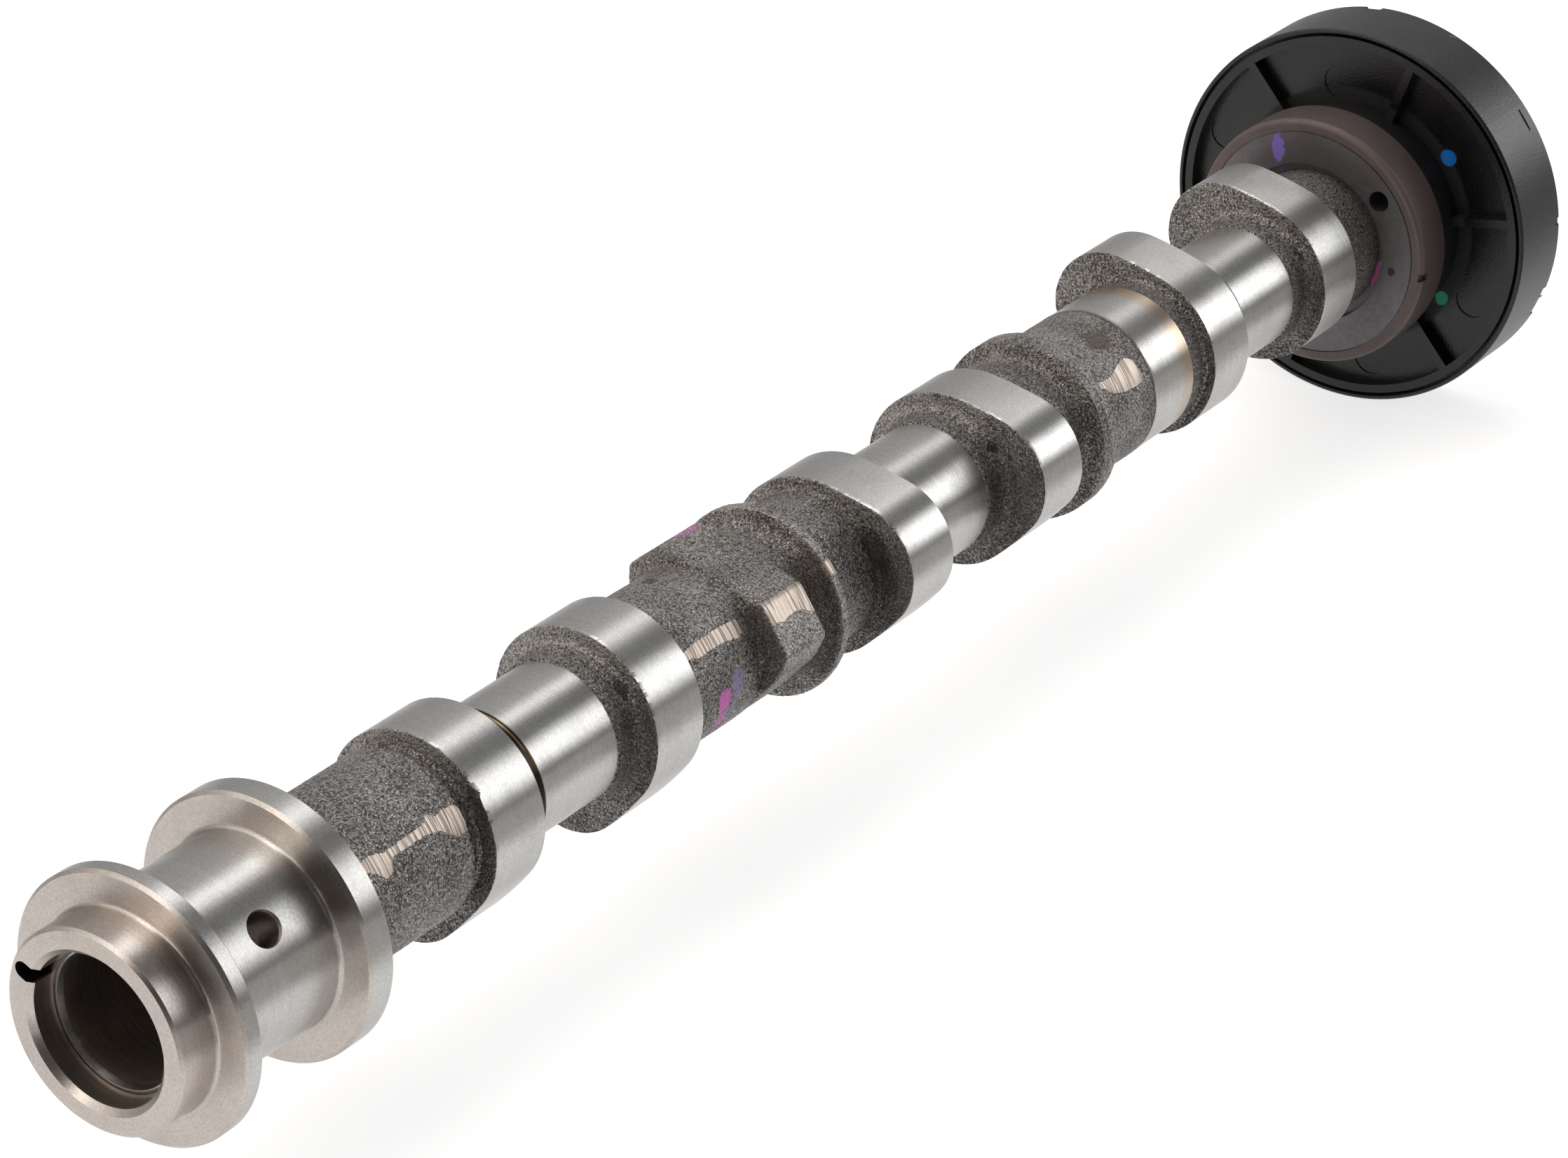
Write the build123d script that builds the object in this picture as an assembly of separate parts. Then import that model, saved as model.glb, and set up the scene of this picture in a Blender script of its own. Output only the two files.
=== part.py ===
from build123d import *
import math
import os

# Camshaft of an engine, lying level as it does in its bearings.
# Millimetres, +X runs along the shaft from the nose to the signal wheel, +Z is up, and the origin is the
# middle of the front bearing journal. Each piece is first modelled upright, with the wheel at the bottom,
# and laid down at the end. Stations are distances from the nose face, because the shaft was measured from
# there, and height(t) turns one into an upright Z. Angles are about that upright axis.

# overall
length = 376.8             # nose face to the wheel's rear face
pitch = 106.0              # one pair of lobes to the next
pair_turn = 120.0          # the pairs are turned by this much
datum = 22.75              # station of the front journal's middle, the origin
roll = 48.32               # turns the upright shaft about its axis before it is laid down

# nose and front bearing
nose_r = 16.4
nose_bevel = 0.5
front_journal_r = 16.2
flange_r = 21.9
flange1_front = 7.5
flange1_rear = 11.0
flange2_front = 34.5
flange2_rear = 39.9
flange_bevel = 0.55
root_r = 17.0              # outer radius of the small fillet beside each flange
root_w = 0.9

# mouth of the nose
mouth_r = 13.1             # widest point of the entry bevel
seat_r = 12.15             # counterbore
seat_depth = 4.5
seat_groove_out = 11.75
seat_groove_in = 11.25
seat_groove_depth = 0.5
bore_r = 10.7
bore_bevel = 1.1
bore_depth = 32.0
slot_angle = 113.5
slot_w = 2.8
slot_reach = 15.6
oil_r = 2.65
oil_mouth_r = 3.0
oil_station = 22.8
oil_angle = -2.4

# cam lobes
lobe_front = 70.9          # station of the first lobe's front face
lobe_gap = 40.8            # first lobe of a pair to its second
lobe_w = 12.2
base_r = 16.0
lift = 4.83
tip_r = 11.5               # radius of the nose arc
flank_r = 77.0
lobe_bevel = 0.3
first_tip = -144.3         # direction of the first pair's tips

# ground journals between the lobes of a pair
journal_r = 12.0
journal_start = 17.5       # from the first lobe's front face
journal_end = 36.0
corner_r = 12.4            # unground corner beside a journal
corner_top = 14.2          # where the corner runs up the lobe

# cast necks
neck1_r = 14.35
neck2_r = 13.7
neck3_r = 13.5
rear_block_r = 14.4
rear_ring_r = 14.3
rear_ring_front = 265.0
rear_ring_back = 278.0
collar_r = 14.3
neck_fillet = 1.3

# six-sided block, as (across, down) corners seen from the nose; it isn't a regular hexagon
block_front = 142.9
block_rear = 154.3
block = [
    (5.6, 16.2), (17.3, -1.0), (15.9, -10.4), (11.0, -12.6), (-2.0, -13.8),
    (-10.6, -12.4), (-15.4, -4.5), (-13.6, 4.0), (-2.4, 16.4),
]
block_round = 1.2

# cast discs
disc1_mid = 162.3
disc1_r = 16.9
disc1_w = 1.8
disc2_mid = 244.8
disc2_r = 16.95
disc2_w = 4.6
disc_shift = -0.25         # the cast discs sit a little low of the ground axis

# wheel
spigot_r = 12.0            # shaft end inside the wheel
spigot_rear = 374.6
centre_hole_r = 3.2
hub_front = 346.0
hub_side_r = 24.7
hub_side_rear = 355.0
hub_shoulder = 1.1
hub_ring_r = 22.4          # thin ring line on the front face
hub_ring_w = 0.35
hub_ring_depth = 0.25
hub_tube_r = 18.0          # the part of the insert that runs back through the moulding
hub_tube_rear = 376.0
hub_gap_r = 16.0           # dark recess round the shaft in the insert's front face
hub_gap_depth = 1.6
pin_hole_r = 2.05
pin_hole_at = 18.8
pin_hole_angle = -2.7
pin_hole_depth = 6.0
hub_notch_angle = -46.0
hub_notch_w = 1.6
hub_notch_depth = 0.5
carrier_hub_r = 23.0
wheel_front = 361.4
floor_station = 363.9
ring_in = 35.0             # inner ring of the moulding
ring_out = 36.6
rib_w = 1.7
rib_first = 29.0
rib_count = 6
lip_in = 37.3              # magnet ring's front lip
wheel_r = 38.1
gap_depth = 2.0
wheel_bevel = 0.3
ejectors = [(119.0, 30.8), (-121.0, 30.2), (58.0, 26.6), (-66.0, 29.5)]
ejector_r = 3.4
ejector_depth = 0.25
rim_cuts = [(55.0, 3.4, 0.5, 1.6), (-60.5, 2.2, 0.9, 1.6), (-65.5, 4.4, 0.5, 1.6), (-37.0, 1.4, 0.4, 1.6)]
rim_mark_angle = -4.5
rim_mark_station = 373.6


def height(station):
    """Z of a station that is measured back from the nose face."""
    return length - station


def spot(radius, angle, z=0.0):
    """Point at a radius, an angle in degrees and a height."""
    a = math.radians(angle)
    return (radius * math.cos(a), radius * math.sin(a), z)


def turned(steps):
    """Solid of revolution from steps of (station, radius) or (mid station, mid radius, station, radius)."""
    edges = []
    here = (steps[0][1], 0.0, height(steps[0][0]))
    start = here
    for step in steps[1:]:
        end = (step[-1], 0.0, height(step[-2]))
        if len(step) == 4:
            mid = (step[1], 0.0, height(step[0]))
            edges.append(Edge.make_three_point_arc(here, mid, end))
        else:
            edges.append(Edge.make_line(here, end))
        here = end
    edges.append(Edge.make_line(here, start))
    return revolve(Face(Wire(edges)), Axis.Z, 360)


def hollow(t0, r0, t1, r1):
    """Middle of a concave quarter round between two points of a profile, as (station, radius)."""
    # the round bulges toward the axis, on the side of whichever end has the smaller radius
    dt = t1 - t0
    dr = r1 - r0
    k = 1.0 - math.sqrt(0.5)
    if dr > 0:
        return (t1 - k * dt, r0 + k * dr)
    return (t0 + k * dt, r1 - k * dr)


def concave(t0, r0, t1, r1):
    """One concave step of a profile, from (t0, r0) to (t1, r1)."""
    tm, rm = hollow(t0, r0, t1, r1)
    return (tm, rm, t1, r1)


def core():
    """Everything round on the casting, from the nose to the end inside the wheel."""
    b = flange_bevel
    s = [(0.0, 0.0), (0.0, nose_r - nose_bevel), (nose_bevel, nose_r)]
    s += [(flange1_front - root_w, nose_r)]
    s += [concave(flange1_front - root_w, nose_r, flange1_front, root_r)]
    s += [(flange1_front, flange_r - b), (flange1_front + b, flange_r)]
    s += [(flange1_rear - b, flange_r), (flange1_rear, flange_r - b), (flange1_rear, root_r)]
    s += [concave(flange1_rear, root_r, flange1_rear + root_w, front_journal_r)]
    s += [(flange2_front - root_w, front_journal_r)]
    s += [concave(flange2_front - root_w, front_journal_r, flange2_front, root_r)]
    s += [(flange2_front, flange_r - b), (flange2_front + b, flange_r)]
    s += [(flange2_rear - b, flange_r), (flange2_rear, flange_r - b)]
    f = neck_fillet
    s += [(flange2_rear, neck1_r + f)]
    s += [concave(flange2_rear, neck1_r + f, flange2_rear + f, neck1_r)]
    for i in range(3):
        front = lobe_front + i * pitch
        back = front + lobe_gap
        inlet = [neck1_r, neck3_r, rear_ring_r][i]
        outlet = [neck2_r, neck3_r, collar_r][i]
        rise = [1.2, 1.6, 1.5][i]
        if i == 2:
            s += [(rear_ring_front, rear_block_r), (rear_ring_front, rear_ring_r), (rear_ring_back, rear_ring_r)]
            s += [(rear_ring_back, rear_ring_r - 0.4), (front - rise, rear_ring_r - 0.4)]
            s += [concave(front - rise, rear_ring_r - 0.4, front, base_r - 0.6)]
        else:
            s += [(front - rise, inlet), concave(front - rise, inlet, front, base_r - 0.5)]
        s += [(front + 1.0, base_r - 0.5), (front + lobe_w - 1.0, corner_top), (front + lobe_w, corner_top)]
        s += [concave(front + lobe_w, corner_top, front + lobe_w + 2.4, corner_r)]
        s += [(front + journal_start, corner_r), (front + journal_start, journal_r)]
        s += [(front + journal_end, journal_r), (front + journal_end, corner_r)]
        s += [(back - 2.4, corner_r), concave(back - 2.4, corner_r, back, corner_top)]
        s += [(back + 1.0, corner_top), (back + lobe_w - 1.0, base_r - 0.5), (back + lobe_w, base_r - 0.5)]
        s += [concave(back + lobe_w, base_r - 0.5, back + lobe_w + rise, outlet)]
        if i == 1:
            s += [(disc2_mid + 1.0, neck3_r), (disc2_mid + 1.0, rear_block_r)]
    shoulder = hub_front + hub_gap_depth
    s += [(shoulder, collar_r), (shoulder, spigot_r), (spigot_rear, spigot_r), (spigot_rear, 0.0)]
    return turned(s)


def lobe_face():
    """Outline of a lobe: base circle, two flank arcs and a nose arc, with the tip toward +X."""
    dn = base_r + lift - tip_r
    a = flank_r - base_r
    b = flank_r - tip_r
    fx = (a * a - b * b + dn * dn) / (2 * dn)
    fy = -math.sqrt(a * a - fx * fx)
    base_angle = math.atan2(-fy, -fx)
    ex = (dn - fx) / b
    ey = -fy / b
    base_end = (base_r * math.cos(base_angle), base_r * math.sin(base_angle))
    nose_end = (dn + tip_r * ex, tip_r * ey)
    half = 0.5 * (math.atan2(base_end[1] - fy, base_end[0] - fx) + math.atan2(nose_end[1] - fy, nose_end[0] - fx))
    flank_mid = (fx + flank_r * math.cos(half), fy + flank_r * math.sin(half))

    def flip(p):
        return (p[0], -p[1])

    edges = [
        Edge.make_three_point_arc(base_end, (-base_r, 0), flip(base_end)),
        Edge.make_three_point_arc(flip(base_end), flip(flank_mid), flip(nose_end)),
        Edge.make_three_point_arc(flip(nose_end), (base_r + lift, 0), nose_end),
        Edge.make_three_point_arc(nose_end, flank_mid, base_end),
    ]
    return Face(Wire(edges))


def lobe(front, angle):
    """One lobe whose front face is at a station, with its tip at an angle."""
    solid = extrude(lobe_face(), lobe_w)
    rims = solid.edges().group_by(Axis.Z)
    solid = chamfer(rims[0] + rims[-1], lobe_bevel)
    return Rot(0, 0, angle) * Pos(0, 0, 0) * Pos(0, 0, height(front + lobe_w)) * solid


def lobes():
    """Six lobes, in three pairs."""
    out = []
    for i in range(3):
        angle = first_tip + i * pair_turn
        for front in (lobe_front, lobe_front + lobe_gap):
            out.append(lobe(front + i * pitch, angle))
    return out


def flats():
    """The six-sided cast block."""
    face = make_face(Polyline([(x, y) for x, y in block], close=True))
    solid = extrude(face, block_rear - block_front)
    ups = solid.edges().filter_by(Axis.Z)
    solid = fillet(ups, 0.9)
    return Pos(0, 0, height(block_rear)) * solid


def disc(mid, radius, width, front_r, rear_r, slope):
    """Thin cast disc with a rounded rim and sloping sides."""
    h = width / 2
    s = [(mid - h - slope, 0.0), (mid - h - slope, front_r), (mid - h - 0.4, radius - 0.9)]
    s += [(mid - h - 0.05, radius - 0.3, mid - h + 0.5, radius)]
    s += [(mid + h - 0.5, radius), (mid + h + 0.05, radius - 0.3, mid + h + 0.4, radius - 0.9)]
    s += [(mid + h + slope, rear_r), (mid + h + slope, 0.0)]
    return Pos(0, disc_shift, 0) * turned(s)


def mouth():
    """What is bored out of the nose."""
    d = seat_depth
    s = [(0.0, 0.0), (0.0, mouth_r), (mouth_r - seat_r, seat_r), (d, seat_r), (d, seat_groove_out)]
    s += [(d + seat_groove_depth, seat_groove_out), (d + seat_groove_depth, seat_groove_in)]
    s += [(d, seat_groove_in), (d, bore_r + 0.3), (d + bore_bevel, bore_r), (bore_depth, bore_r)]
    s += [(bore_depth + bore_r / math.tan(math.radians(59)), 0.0)]
    return turned(s)


def slot():
    """Locating slot that runs outward from the counterbore."""
    reach = slot_reach - slot_w / 2
    z = height(seat_depth)
    bar = Pos(reach / 2 + 3, 0, z + seat_depth / 2 + 1) * Box(reach - 6, slot_w, seat_depth + 2)
    end = Pos(reach, 0, z + seat_depth / 2 + 1) * Cylinder(slot_w / 2, seat_depth + 2)
    return Rot(0, 0, slot_angle) * (bar + end)


def oil_hole():
    """Oil hole of the front bearing, with a small entry bevel."""
    z = height(oil_station)
    drill = Pos((front_journal_r + bore_r - 3) / 2, 0, z) * Rot(0, 90, 0) * Cylinder(oil_r, front_journal_r - bore_r + 7)
    flare = front_journal_r - 0.35
    entry = Pos(flare + 0.5, 0, z) * Rot(0, 90, 0) * Cone(oil_r - 0.15, oil_mouth_r + 0.35, 1.0)
    return Rot(0, 0, oil_angle) * (drill + entry)


def camshaft():
    """The casting: nose, flanges, journals, lobes, block, discs and the end inside the wheel."""
    body = core()
    body += disc(disc1_mid, disc1_r, disc1_w, 13.4, 13.4, 3.0)
    body += disc(disc2_mid, disc2_r, disc2_w, 13.2, 14.0, 2.2)
    body += flats()
    for solid in lobes():
        body += solid
    body -= mouth()
    body -= slot()
    body -= oil_hole()
    tip = centre_hole_r / math.tan(math.radians(30))
    body -= Pos(0, 0, height(spigot_rear) + tip / 2) * Cone(centre_hole_r, 0, tip)
    return body


def hub():
    """Metal insert that carries the wheel on the shaft."""
    shoulder = hub_front + hub_gap_depth
    s = [(shoulder, spigot_r), (shoulder, hub_gap_r), (hub_front, hub_gap_r), (hub_front, hub_ring_r - hub_ring_w / 2)]
    s += [(hub_front + hub_ring_depth, hub_ring_r - hub_ring_w / 2)]
    s += [(hub_front + hub_ring_depth, hub_ring_r + hub_ring_w / 2), (hub_front, hub_ring_r + hub_ring_w / 2)]
    c = hub_shoulder
    s += [(hub_front, hub_side_r - c)]
    s += [(hub_front + c * 0.293, hub_side_r - c * 0.293, hub_front + c, hub_side_r)]
    s += [(hub_side_rear, hub_side_r), (hub_side_rear, hub_tube_r), (hub_tube_rear, hub_tube_r)]
    s += [(hub_tube_rear, spigot_r)]
    body = turned(s)
    x, y, z = spot(pin_hole_at, pin_hole_angle, height(hub_front + pin_hole_depth / 2 - 0.5))
    body -= Pos(x, y, z) * Cylinder(pin_hole_r, pin_hole_depth + 1)
    x, y, z = spot(hub_side_r, hub_notch_angle, height(hub_front + 1.0))
    notch = Pos(x, y, z) * Rot(0, 0, hub_notch_angle) * Box(2 * hub_notch_depth + 0.6, hub_notch_w, 3.0)
    body -= notch
    return body


def carrier():
    """Black moulding: hub, floor, inner ring and six ribs."""
    s = [(hub_side_rear, hub_tube_r), (hub_side_rear, carrier_hub_r), (floor_station, carrier_hub_r)]
    s += [(floor_station, ring_in), (wheel_front, ring_in), (wheel_front, ring_out)]
    s += [(length, ring_out), (length, hub_tube_r)]
    body = turned(s)
    depth = floor_station - wheel_front
    span = ring_in - carrier_hub_r + 1.0
    for i in range(rib_count):
        rib = Pos(carrier_hub_r + span / 2 - 0.5, 0, height(wheel_front) - depth / 2) * Box(span, rib_w, depth)
        body += Rot(0, 0, rib_first + i * 360 / rib_count) * rib
    for angle, radius in ejectors:
        x, y, z = spot(radius, angle, height(floor_station))
        body -= Pos(x, y, z) * Cylinder(ejector_r, 2 * ejector_depth)
    return body


def magnet_ring():
    """Outer ring of the wheel, with its front lip."""
    b = wheel_bevel
    s = [(wheel_front, lip_in), (wheel_front, wheel_r - b), (wheel_front + b, wheel_r)]
    s += [(length - b, wheel_r), (length, wheel_r - b), (length, ring_out)]
    s += [(wheel_front + gap_depth, ring_out), (wheel_front + gap_depth, lip_in)]
    body = turned(s)
    for angle, wide, deep, along in rim_cuts:
        x, y, z = spot(wheel_r, angle, along / 2)
        body -= Pos(x, y, z) * Rot(0, 0, angle) * Box(2 * deep, wide, along)
    x, y, z = spot(wheel_r, rim_mark_angle, height(rim_mark_station))
    body -= Pos(x, y, z) * Rot(0, 0, rim_mark_angle) * Box(0.4, 4.6, 1.3)
    return body


def lay_down(shape):
    """Turns an upright piece about its axis and lays it along +X, with the datum at the origin."""
    a = math.radians(roll)
    across = (0, -math.sin(a), math.cos(a))
    return Plane(origin=(length - datum, 0, 0), x_dir=across, z_dir=(-1, 0, 0)).location * shape


os.makedirs("parts", exist_ok=True)
nodes = {"camshaft": camshaft, "wheel_hub": hub, "wheel_carrier": carrier, "magnet_ring": magnet_ring}
for name, make in nodes.items():
    shape = lay_down(make())
    box = shape.bounding_box()
    print(name, "solids", len(shape.solids()), "box", box.min, box.max)
    export_step(shape, "parts/" + name + ".step")
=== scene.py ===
"""Camshaft with its signal wheel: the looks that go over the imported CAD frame.

Every surface of the shaft is a profile carried round the axis. Stations are millimetres from the nose
face along the shaft, radii are millimetres from its axis, and bearings are degrees round it, counted
from the side that faces the camera and turning downwards. The object frame is the CAD's: +X along the
shaft toward the wheel, +Z up, origin in the middle of the front bearing, in metres.
"""

from __future__ import annotations

import logging
import math
from dataclasses import dataclass, field
from enum import Enum
from typing import Callable, Sequence

import bpy
import numpy as np
from mathutils import Matrix, Vector

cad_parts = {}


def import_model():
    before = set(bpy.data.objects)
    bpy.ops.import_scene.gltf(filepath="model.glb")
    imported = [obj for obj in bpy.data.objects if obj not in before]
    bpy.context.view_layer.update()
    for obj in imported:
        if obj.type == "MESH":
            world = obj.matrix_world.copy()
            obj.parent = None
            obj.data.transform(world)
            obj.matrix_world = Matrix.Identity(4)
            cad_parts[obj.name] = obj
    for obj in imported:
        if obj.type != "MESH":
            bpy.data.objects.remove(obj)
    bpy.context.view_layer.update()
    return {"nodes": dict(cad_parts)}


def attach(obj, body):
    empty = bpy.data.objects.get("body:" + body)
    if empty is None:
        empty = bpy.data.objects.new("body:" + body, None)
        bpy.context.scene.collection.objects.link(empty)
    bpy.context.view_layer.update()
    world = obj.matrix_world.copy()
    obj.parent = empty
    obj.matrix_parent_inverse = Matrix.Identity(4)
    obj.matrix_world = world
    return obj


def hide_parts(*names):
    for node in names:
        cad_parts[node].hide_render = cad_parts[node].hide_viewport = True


log = logging.getLogger("camshaft")

Array = np.ndarray
Colour = tuple[float, float, float, float]

# numbers and names that the pieces share
MM = 0.001  # metres in a millimetre
DATUM = 22.75  # station of the front bearing's middle, the frame's origin
FACING = 138.32  # degrees from +Y to the side of the shaft that faces the camera
COLUMNS = 384  # steps round the shaft
LAP = 0.6  # how far the closed end of a piece reaches into the next piece
RELIEF_EDGE = 0.8  # width over which the cast relief fades at the ends of a piece
BODY = "root"
SHAFT = "camshaft"  # the CAD node that the new pieces stand for, and its material slot
SKIN_SHARP = 38.0  # degrees between faces from which the edge is sharp
CUT_SHARP = 30.0  # the same on the piece that tools have cut

# odd numbers that the lattice noise hashes a cell and its seed with
CELL_HASH = np.array((73856093, 19349663, 83492791))
SEED_HASH = 6364136
STIR_HASH = 1274126177


class Finish(Enum):
    """Which of a piece's materials a run of faces takes; the value is the material slot's place."""

    GROUND = 0
    CAST = 1
    BORED = 2


def bearings(columns: int = COLUMNS) -> Array:
    """Evenly spaced bearings once round the shaft, from -180 degrees."""
    return np.arange(columns) * (360.0 / columns) - 180.0


def place(station: Array, radius: Array, bearing: Array) -> Array:
    """Turns shaft coordinates into object coordinates.

    x is the station less the datum; y and z are the radius times the cosine and sine of the bearing
    plus the fixed angle between the camera's side of the shaft and +Y.

    Args:
        station: millimetres from the nose face.
        radius: millimetres from the axis.
        bearing: degrees round the axis.

    Returns:
        Points in metres, with the three coordinates on the last axis.
    """
    turn = np.radians(bearing + FACING)
    across = radius * MM
    return np.stack(((station - DATUM) * MM + 0 * turn, across * np.cos(turn), across * np.sin(turn)), axis=-1)


def lattice_noise(points: Array, cell: float, seed: int) -> Array:
    """Smooth random relief: each cell corner has a hashed value, blended with a cubic ease between corners.

    Args:
        points: positions, with x, y and z on the last axis.
        cell: cell size in the same unit.
        seed: picks one of many reliefs.

    Returns:
        Values from -1 to 1, one per point.
    """
    scaled = points / cell + 1000.0
    base = np.floor(scaled).astype(np.int64)
    part = scaled - base
    ease = part * part * (3.0 - 2.0 * part)
    total = np.zeros(points.shape[:-1])
    for corner in range(8):
        offset = np.array([corner & 1, (corner >> 1) & 1, (corner >> 2) & 1])
        mixed = np.bitwise_xor.reduce((base + offset) * CELL_HASH, axis=-1) ^ (seed * SEED_HASH)
        mixed = (mixed ^ (mixed >> 13)) * STIR_HASH & 0x7FFFFFFF
        mixed = (mixed ^ (mixed >> 16)) & 0xFFFF
        weight = np.prod(np.where(offset == 1, ease, 1.0 - ease), axis=-1)
        total += weight * (mixed / 32767.5 - 1.0)
    return total


def soft_box(value: Array, low: float, high: float, blur: float) -> Array:
    """One inside a range and zero outside it, with a smooth ramp of the given width at both ends.

    Args:
        value: what is tested.
        low: start of the range.
        high: end of the range.
        blur: width of each ramp.

    Returns:
        Weights from 0 to 1.
    """
    rise = np.clip((value - low) / blur + 0.5, 0.0, 1.0)
    fall = np.clip((high - value) / blur + 0.5, 0.0, 1.0)
    return (rise * rise * (3 - 2 * rise)) * (fall * fall * (3 - 2 * fall))


def spokes(bearing: float) -> tuple[Array, Array]:
    """Finds the directions out of the shaft and round it at a bearing.

    Args:
        bearing: degrees round the axis.

    Returns:
        Unit vectors: the first has the cosine and sine of the turn as y and z, and the second is square to it.
    """
    turn = math.radians(bearing + FACING)
    return np.array((0.0, math.cos(turn), math.sin(turn))), np.array((0.0, -math.sin(turn), math.cos(turn)))


def weave(index: Array) -> Array:
    """Joins the rows of a grid of vertex numbers, each of which closes on itself, with four-sided faces."""
    beside = np.roll(index, -1, axis=1)
    return np.stack((index[:-1], beside[:-1], beside[1:], index[1:]), axis=-1).reshape(-1, 4)


@dataclass(frozen=True)
class Stop:
    """End of one straight run of a profile, with how many rows the run has and what finish."""

    station: float | Array
    radius: float | Array
    rows: int
    finish: Finish


def hollow(start: tuple[float, float], end: tuple[float, float], rows: int, finish: Finish) -> list[Stop]:
    """Concave quarter round between two profile points, as short runs.

    The quarter is a stretched circle: one coordinate follows one minus a cosine and the other a sine,
    so that it leaves the smaller radius along the shaft and reaches the larger one square to it.

    Args:
        start: station and radius where it begins.
        end: station and radius where it ends.
        rows: how many runs.
        finish: the finish of all of them.

    Returns:
        The stops after the start.
    """
    turn = np.linspace(0.0, math.pi / 2, rows + 1)[1:]
    if end[1] > start[1]:
        along, out = np.sin(turn), 1.0 - np.cos(turn)
    else:
        along, out = 1.0 - np.cos(turn), np.sin(turn)
    stations = start[0] + (end[0] - start[0]) * along
    radii = start[1] + (end[1] - start[1]) * out
    return [Stop(float(s), float(r), 1, finish) for s, r in zip(stations, radii)]


@dataclass
class Skin:
    """A profile carried round the shaft: grids of station, radius and bearing, and a finish for each row."""

    station: Array
    radius: Array
    bearing: Array
    finish: Array
    marks: dict[str, Array] = field(default_factory=dict)

    @staticmethod
    def sweep(stops: Sequence[Stop], columns: int = COLUMNS) -> "Skin":
        """Fills the straight runs between stops with evenly spaced rows.

        Args:
            stops: the profile, which starts and ends on the axis.
            columns: how many steps go round the shaft.

        Returns:
            The skin before any relief.
        """
        bearing = bearings(columns)
        full = np.zeros(columns)
        stations = [full + stops[0].station]
        radii = [full + stops[0].radius]
        finishes: list[int] = []
        for before, after in zip(stops[:-1], stops[1:]):
            share = np.arange(1, after.rows + 1)[:, None] / after.rows
            stations.append((full + before.station) * (1 - share) + (full + after.station) * share)
            radii.append((full + before.radius) * (1 - share) + (full + after.radius) * share)
            finishes += [after.finish.value] * after.rows
        station = np.vstack(stations)
        radius = np.vstack(radii)
        return Skin(station, radius, np.broadcast_to(bearing, station.shape).copy(), np.array(finishes))

    def points(self) -> Array:
        """Object coordinates of the grid."""
        return place(self.station, self.radius, self.bearing)

    def outward(self) -> Array:
        """Finds the surface's directions from the cross product of the grid's two central differences.

        Returns:
            Unit normals, one per grid point.
        """
        grid = self.points()
        around = np.roll(grid, -1, axis=1) - np.roll(grid, 1, axis=1)
        along = np.gradient(grid, axis=0)
        normal = np.cross(around, along)
        size = np.linalg.norm(normal, axis=-1, keepdims=True)
        return normal / np.maximum(size, 1e-12)

    def rough(self) -> Array:
        """Finds the rows that touch only cast runs.

        Returns:
            One at their grid points and zero at all others.
        """
        cast = (self.finish == Finish.CAST.value).astype(float)
        before = np.concatenate(([cast[0]], cast))
        after = np.concatenate((cast, [cast[-1]]))
        return np.broadcast_to(np.minimum(before, after)[:, None], self.station.shape)

    def roughen(self, amount: Callable[[Array], Array], weight: Array) -> None:
        """Pushes the grid along its normals and keeps the relief as the relief_and_painted_light mark, where 0.5 is
        level; pieces add painted light to that mark afterwards.

        Args:
            amount: gives millimetres for points in millimetres.
            weight: share of it that each grid point takes.
        """
        relief = amount(self.points() / MM) * weight
        self.marks["relief_and_painted_light"] = np.clip(0.5 + relief * 5.0, 0.0, 1.0)
        push = self.outward() * relief[..., None]
        turn = np.radians(self.bearing + FACING)
        across = self.radius[..., None] * np.stack((np.cos(turn), np.sin(turn)), axis=-1) + push[..., 1:]
        self.station = self.station + push[..., 0]
        self.radius = np.where(self.radius > 0, np.linalg.norm(across, axis=-1), 0.0)

    def mesh(self, name: str) -> bpy.types.Mesh:
        """Builds the mesh, closing each end with a single pole on the axis.

        Args:
            name: name of the mesh.

        Returns:
            The mesh, smooth with its sharp edges marked, and with one attribute per mark.
        """
        grid = self.points()
        rows, columns = grid.shape[0] - 2, grid.shape[1]
        index = np.arange(rows * columns).reshape(rows, columns)
        pole = np.full(columns, rows * columns)
        start = np.stack((pole, np.roll(index[0], -1), index[0]), axis=-1)
        end = np.stack((index[-1], np.roll(index[-1], -1), pole + 1), axis=-1)
        vertices = np.vstack((grid[1:-1].reshape(-1, 3), grid[0, 0], grid[-1, 0]))
        slots = np.repeat(np.concatenate((self.finish[1:rows], self.finish[:1], self.finish[-1:])), columns)
        made = bpy.data.meshes.new(name)
        fill(made, vertices, weave(index), np.vstack((start, end)), slots)
        for word, values in self.marks.items():
            layer = made.attributes.new(word, "FLOAT", "POINT")
            level = np.concatenate((values[1:-1].reshape(-1), (0.0, 0.0)))
            layer.data.foreach_set("value", level.astype(np.float32))
        return made


def fill(mesh: bpy.types.Mesh, vertices: Array, quads: Array, tris: Array, slots: Array) -> None:
    """Puts arrays of points and faces into a mesh and shades it smooth between its sharp edges.

    Args:
        mesh: an empty mesh.
        vertices: points in metres.
        quads: four-sided faces.
        tris: three-sided faces, which follow the quads.
        slots: material slot of each face.
    """
    mesh.vertices.add(len(vertices))
    mesh.vertices.foreach_set("co", vertices.astype(np.float32).ravel())
    mesh.loops.add(quads.size + tris.size)
    mesh.loops.foreach_set("vertex_index", np.concatenate((quads.ravel(), tris.ravel())).astype(np.int32))
    starts = np.concatenate((np.arange(len(quads)) * 4, quads.size + np.arange(len(tris)) * 3))
    mesh.polygons.add(len(starts))
    mesh.polygons.foreach_set("loop_start", starts.astype(np.int32))
    mesh.polygons.foreach_set("material_index", slots.astype(np.int32))
    mesh.update(calc_edges=True)
    mesh.validate()
    mesh.shade_smooth()
    mesh.set_sharp_from_angle(angle=math.radians(SKIN_SHARP))


# material building blocks


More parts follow.
